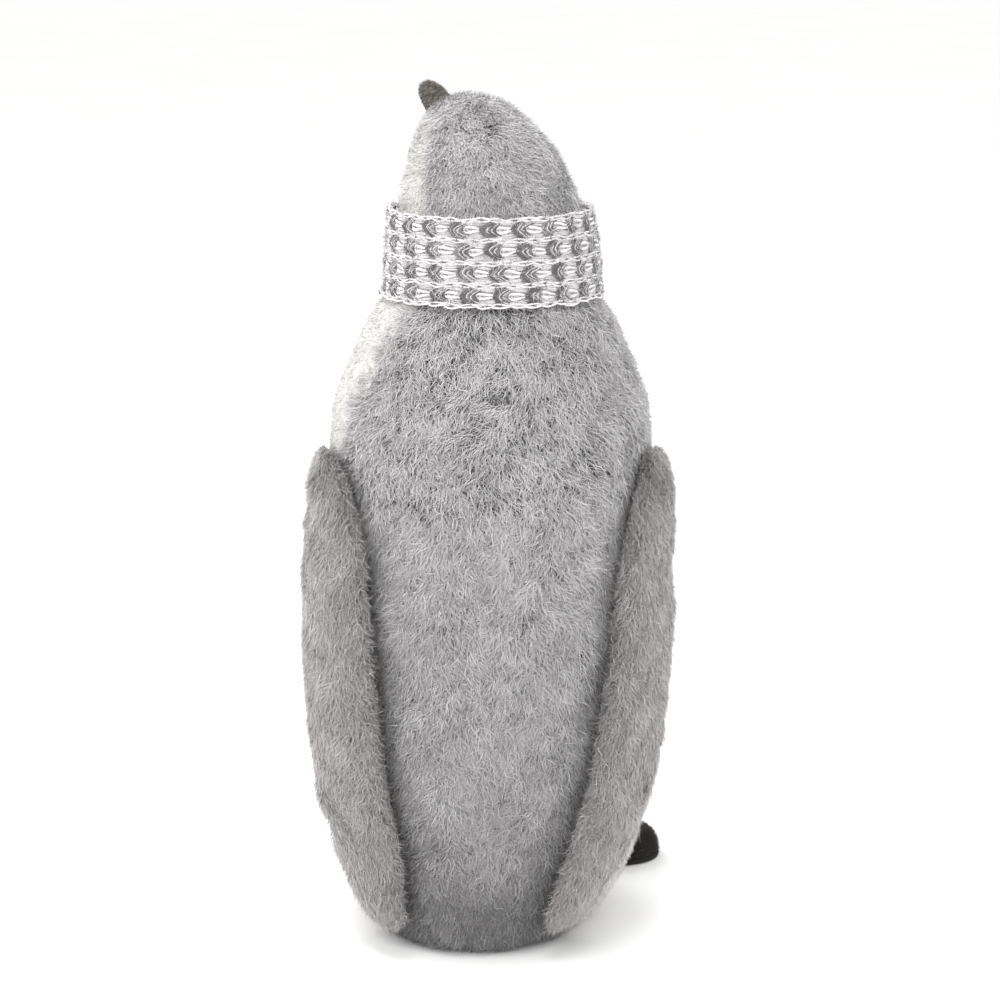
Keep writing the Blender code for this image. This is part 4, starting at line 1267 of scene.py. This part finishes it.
def make_foot(side, plush_base, felt, tones):
    sign = 1 if side == "left" else -1
    splay = FOOT_SPLAY[side]
    facing = math.atan2(-math.cos(splay), sign * math.sin(splay))
    placement = np.array(Matrix.Translation(FOOT_HEEL[side]) @ Matrix.Rotation(facing, 4, "Z"))
    outline, spine = foot_outline(72)
    radius = np.linalg.norm(outline - spine, axis=1)
    inward = np.linspace(0, 0.97, 26) ** 1.6
    grid = []
    pile = 1.6 * MM
    for q in inward:
        flat = outline * (1 - q) + spine * q
        flat = flat - (outline - spine) * (pile / radius)[:, None] * (1 - q)
        rise = FOOT_HEEL_SHARE + (1 - FOOT_HEEL_SHARE) * np.clip(flat[:, 0] / FOOT_SLOPE_LENGTH, 0, 1)
        depth = np.clip(q * radius / (10 * MM), 0, 1)
        top = (FOOT_TOP - pile) * rise * (1 - (1 - depth) ** 2.6) ** (1 / 2.2)
        grid.append(np.stack([flat[:, 0], flat[:, 1], FOOT_SOLE + 0.2 * MM + top], -1))
    grid = moved(np.array(grid), placement)
    name = side + "_foot"
    core = link_mesh(name + "_core", lofted(name + "_core", grid), [plush_base], name)
    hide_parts(name + "_upper", name + "_filling")
    rows = []
    for height, inset in ((0.0, 0.7), (0.3, 0.2), (1.0, 0.0), (1.7, 0.3), (2.1, 1.2)):
        flat = outline - (outline - spine) * (inset * MM / radius)[:, None]
        rows.append(np.stack([flat[:, 0], flat[:, 1], np.full(len(flat), height * MM)], -1))
    rows = moved(np.array(rows), placement)
    sole = link_mesh(name + "_sole_felt", lofted(name + "_sole_felt", rows), [felt], name)
    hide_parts(name + "_sole")
    rng = np.random.default_rng(90 + sign)
    closed = np.concatenate([grid, grid[:, :1]], axis=1)
    count = 9000
    where = pick_cells(closed, count, rng)
    normal, _ = wing_normals(closed)
    point, n = where(closed), unit(where(normal))
    middle = placement[:3, :3] @ np.array([18 * MM, 0, 2 * MM]) + placement[:3, 3]
    n *= np.sign((n * (point - middle)).sum(-1, keepdims=True))
    toe = placement[:3, :3] @ np.array([1.0, 0, 0])
    down = unit(toe - (n @ toe)[:, None] * n + 0.15 * rng.normal(size=(count, 3)))
    grow_plush(name + "_pile", name, point, n, down, tones, 2.8 * MM, 0.75, 0.42 * MM, rng)


# ------------------------------------------------------------------ everything


def plain_plastic(name, colour, roughness, coat):
    material, nodes, links, shader, place = new_material(name, colour, roughness, 0)
    shader.inputs["Coat Weight"].default_value = coat
    shader.inputs["Coat Roughness"].default_value = 0.05
    shader.inputs["Specular IOR Level"].default_value = 0.5
    fine = add_noise(nodes, links, place, 500, 3.0)
    links.new(add_range(nodes, links, fine, roughness * 0.8, roughness * 1.3), shader.inputs["Roughness"])
    add_bump(nodes, links, add_noise(nodes, links, place, 120, 2.0), shader, 0.00003, 0.3)
    return material


def grey(value, tint=(1.0, 0.978, 0.988)):
    return tuple(value * t for t in tint)


def paint_inner_nodes():
    """Materials of the CAD nodes that stay inside the toy."""
    cloth = fabric("bag_cloth", (0.62, 0.6, 0.55), (0.5, 0.48, 0.43), 60, 900, 0.0004, 0.9, 0.1)
    washer = plain_plastic("washer_plastic", (0.75, 0.75, 0.75), 0.5, 0.0)
    for node, material in (("weight_bag", cloth), ("left_eye_washer", washer), ("right_eye_washer", washer)):
        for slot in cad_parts[node].material_slots:
            slot.material = material


def main():
    make_camera()
    make_studio()
    fibre = fabric("white_fibre", (0.88, 0.88, 0.88), (0.78, 0.78, 0.78), 120, 500, 0.001, 0.95, 0.2)
    fur_base = fabric("fur_backing", grey(0.16), grey(0.07), 260, 900, 0.0006, 0.95, 0.1)
    wing_base = fabric("wing_backing", grey(0.34), grey(0.24), 260, 900, 0.0006, 0.95, 0.1)
    plush_base = fabric(
        "plush_backing", (0.8, 0.785, 0.76), (0.74, 0.725, 0.7), 240, 1500, 0.0006, 0.95, 0.3
    )
    lining = fabric("lining_cloth", grey(0.30), grey(0.2), 240, 900, 0.0005, 0.95, 0.2)
    base_felt = fabric("base_felt", grey(0.3), grey(0.22), 260, 1100, 0.0005, 0.95, 0.1)
    black_base = fabric(
        "black_backing", (0.014, 0.012, 0.011), (0.006, 0.005, 0.005), 240, 900, 0.0006, 0.8, 0.1
    )
    sole_felt = fabric(
        "sole_felt", (0.022, 0.021, 0.02), (0.012, 0.011, 0.011), 300, 1200, 0.0004, 0.95, 0.1
    )
    beak_felt = fabric("beak_felt", (0.13, 0.12, 0.105), (0.06, 0.055, 0.05), 420, 1400, 0.0006, 0.95, 0.2)
    knit_cloth = fabric("knit_backing", grey(0.74), grey(0.6), 300, 900, 0.0008, 0.95, 0.2)
    eye = plain_plastic("eye_plastic", (0.006, 0.006, 0.007), 0.1, 1.0)
    fur_shades = (0.17, 0.25, 0.34, 0.44, 0.54, 0.64, 0.75)
    fur_tones = tone_set("fur_tone", [grey(v) for v in fur_shades])
    wing_tones = tone_set("wing_tone", [grey(v, (0.975, 0.945, 0.93)) for v in fur_shades])
    white_tones = tone_set("plush_tone", [(0.71, 0.7, 0.68), (0.76, 0.75, 0.73), (0.81, 0.8, 0.78)], 0.9)
    # Painted light: the face's white plush takes brighter tones than the same plush on the belly and chest,
    # standing in for light on the shaded face.
    face_lit_tones = tone_set(
        "face_lit_tone", [(0.93, 0.92, 0.895), (0.95, 0.94, 0.915), (0.97, 0.96, 0.935)], 0.9, 0.3
    )
    lining_tones = tone_set("lining_tone", [grey(v) for v in (0.2, 0.3, 0.4)])
    black_tones = tone_set(
        "black_tone", [(0.006, 0.005, 0.005), (0.012, 0.010, 0.009), (0.035, 0.03, 0.026)], 0.6, 0.1
    )
    beak_tones = tone_set("beak_tone", [(0.05, 0.045, 0.04), (0.12, 0.11, 0.1), (0.24, 0.225, 0.2)])
    yarn_tones = tone_set("yarn_tone", [grey(v) for v in (0.14, 0.2, 0.34, 0.68, 0.8, 0.88)], 0.9, 0.1)
    paint_inner_nodes()
    make_covers(fur_base, plush_base, fibre)
    make_base(base_felt)
    make_body_fur(fur_tones)
    make_front_plush(white_tones, face_lit_tones)
    for side in ("left", "right"):
        make_wing(side, wing_base, lining, wing_tones, lining_tones)
        make_foot(side, black_base, sole_felt, black_tones)
    make_scarf(yarn_tones, knit_cloth)
    make_beak(beak_felt, beak_tones)
    make_eyes(eye)


main()
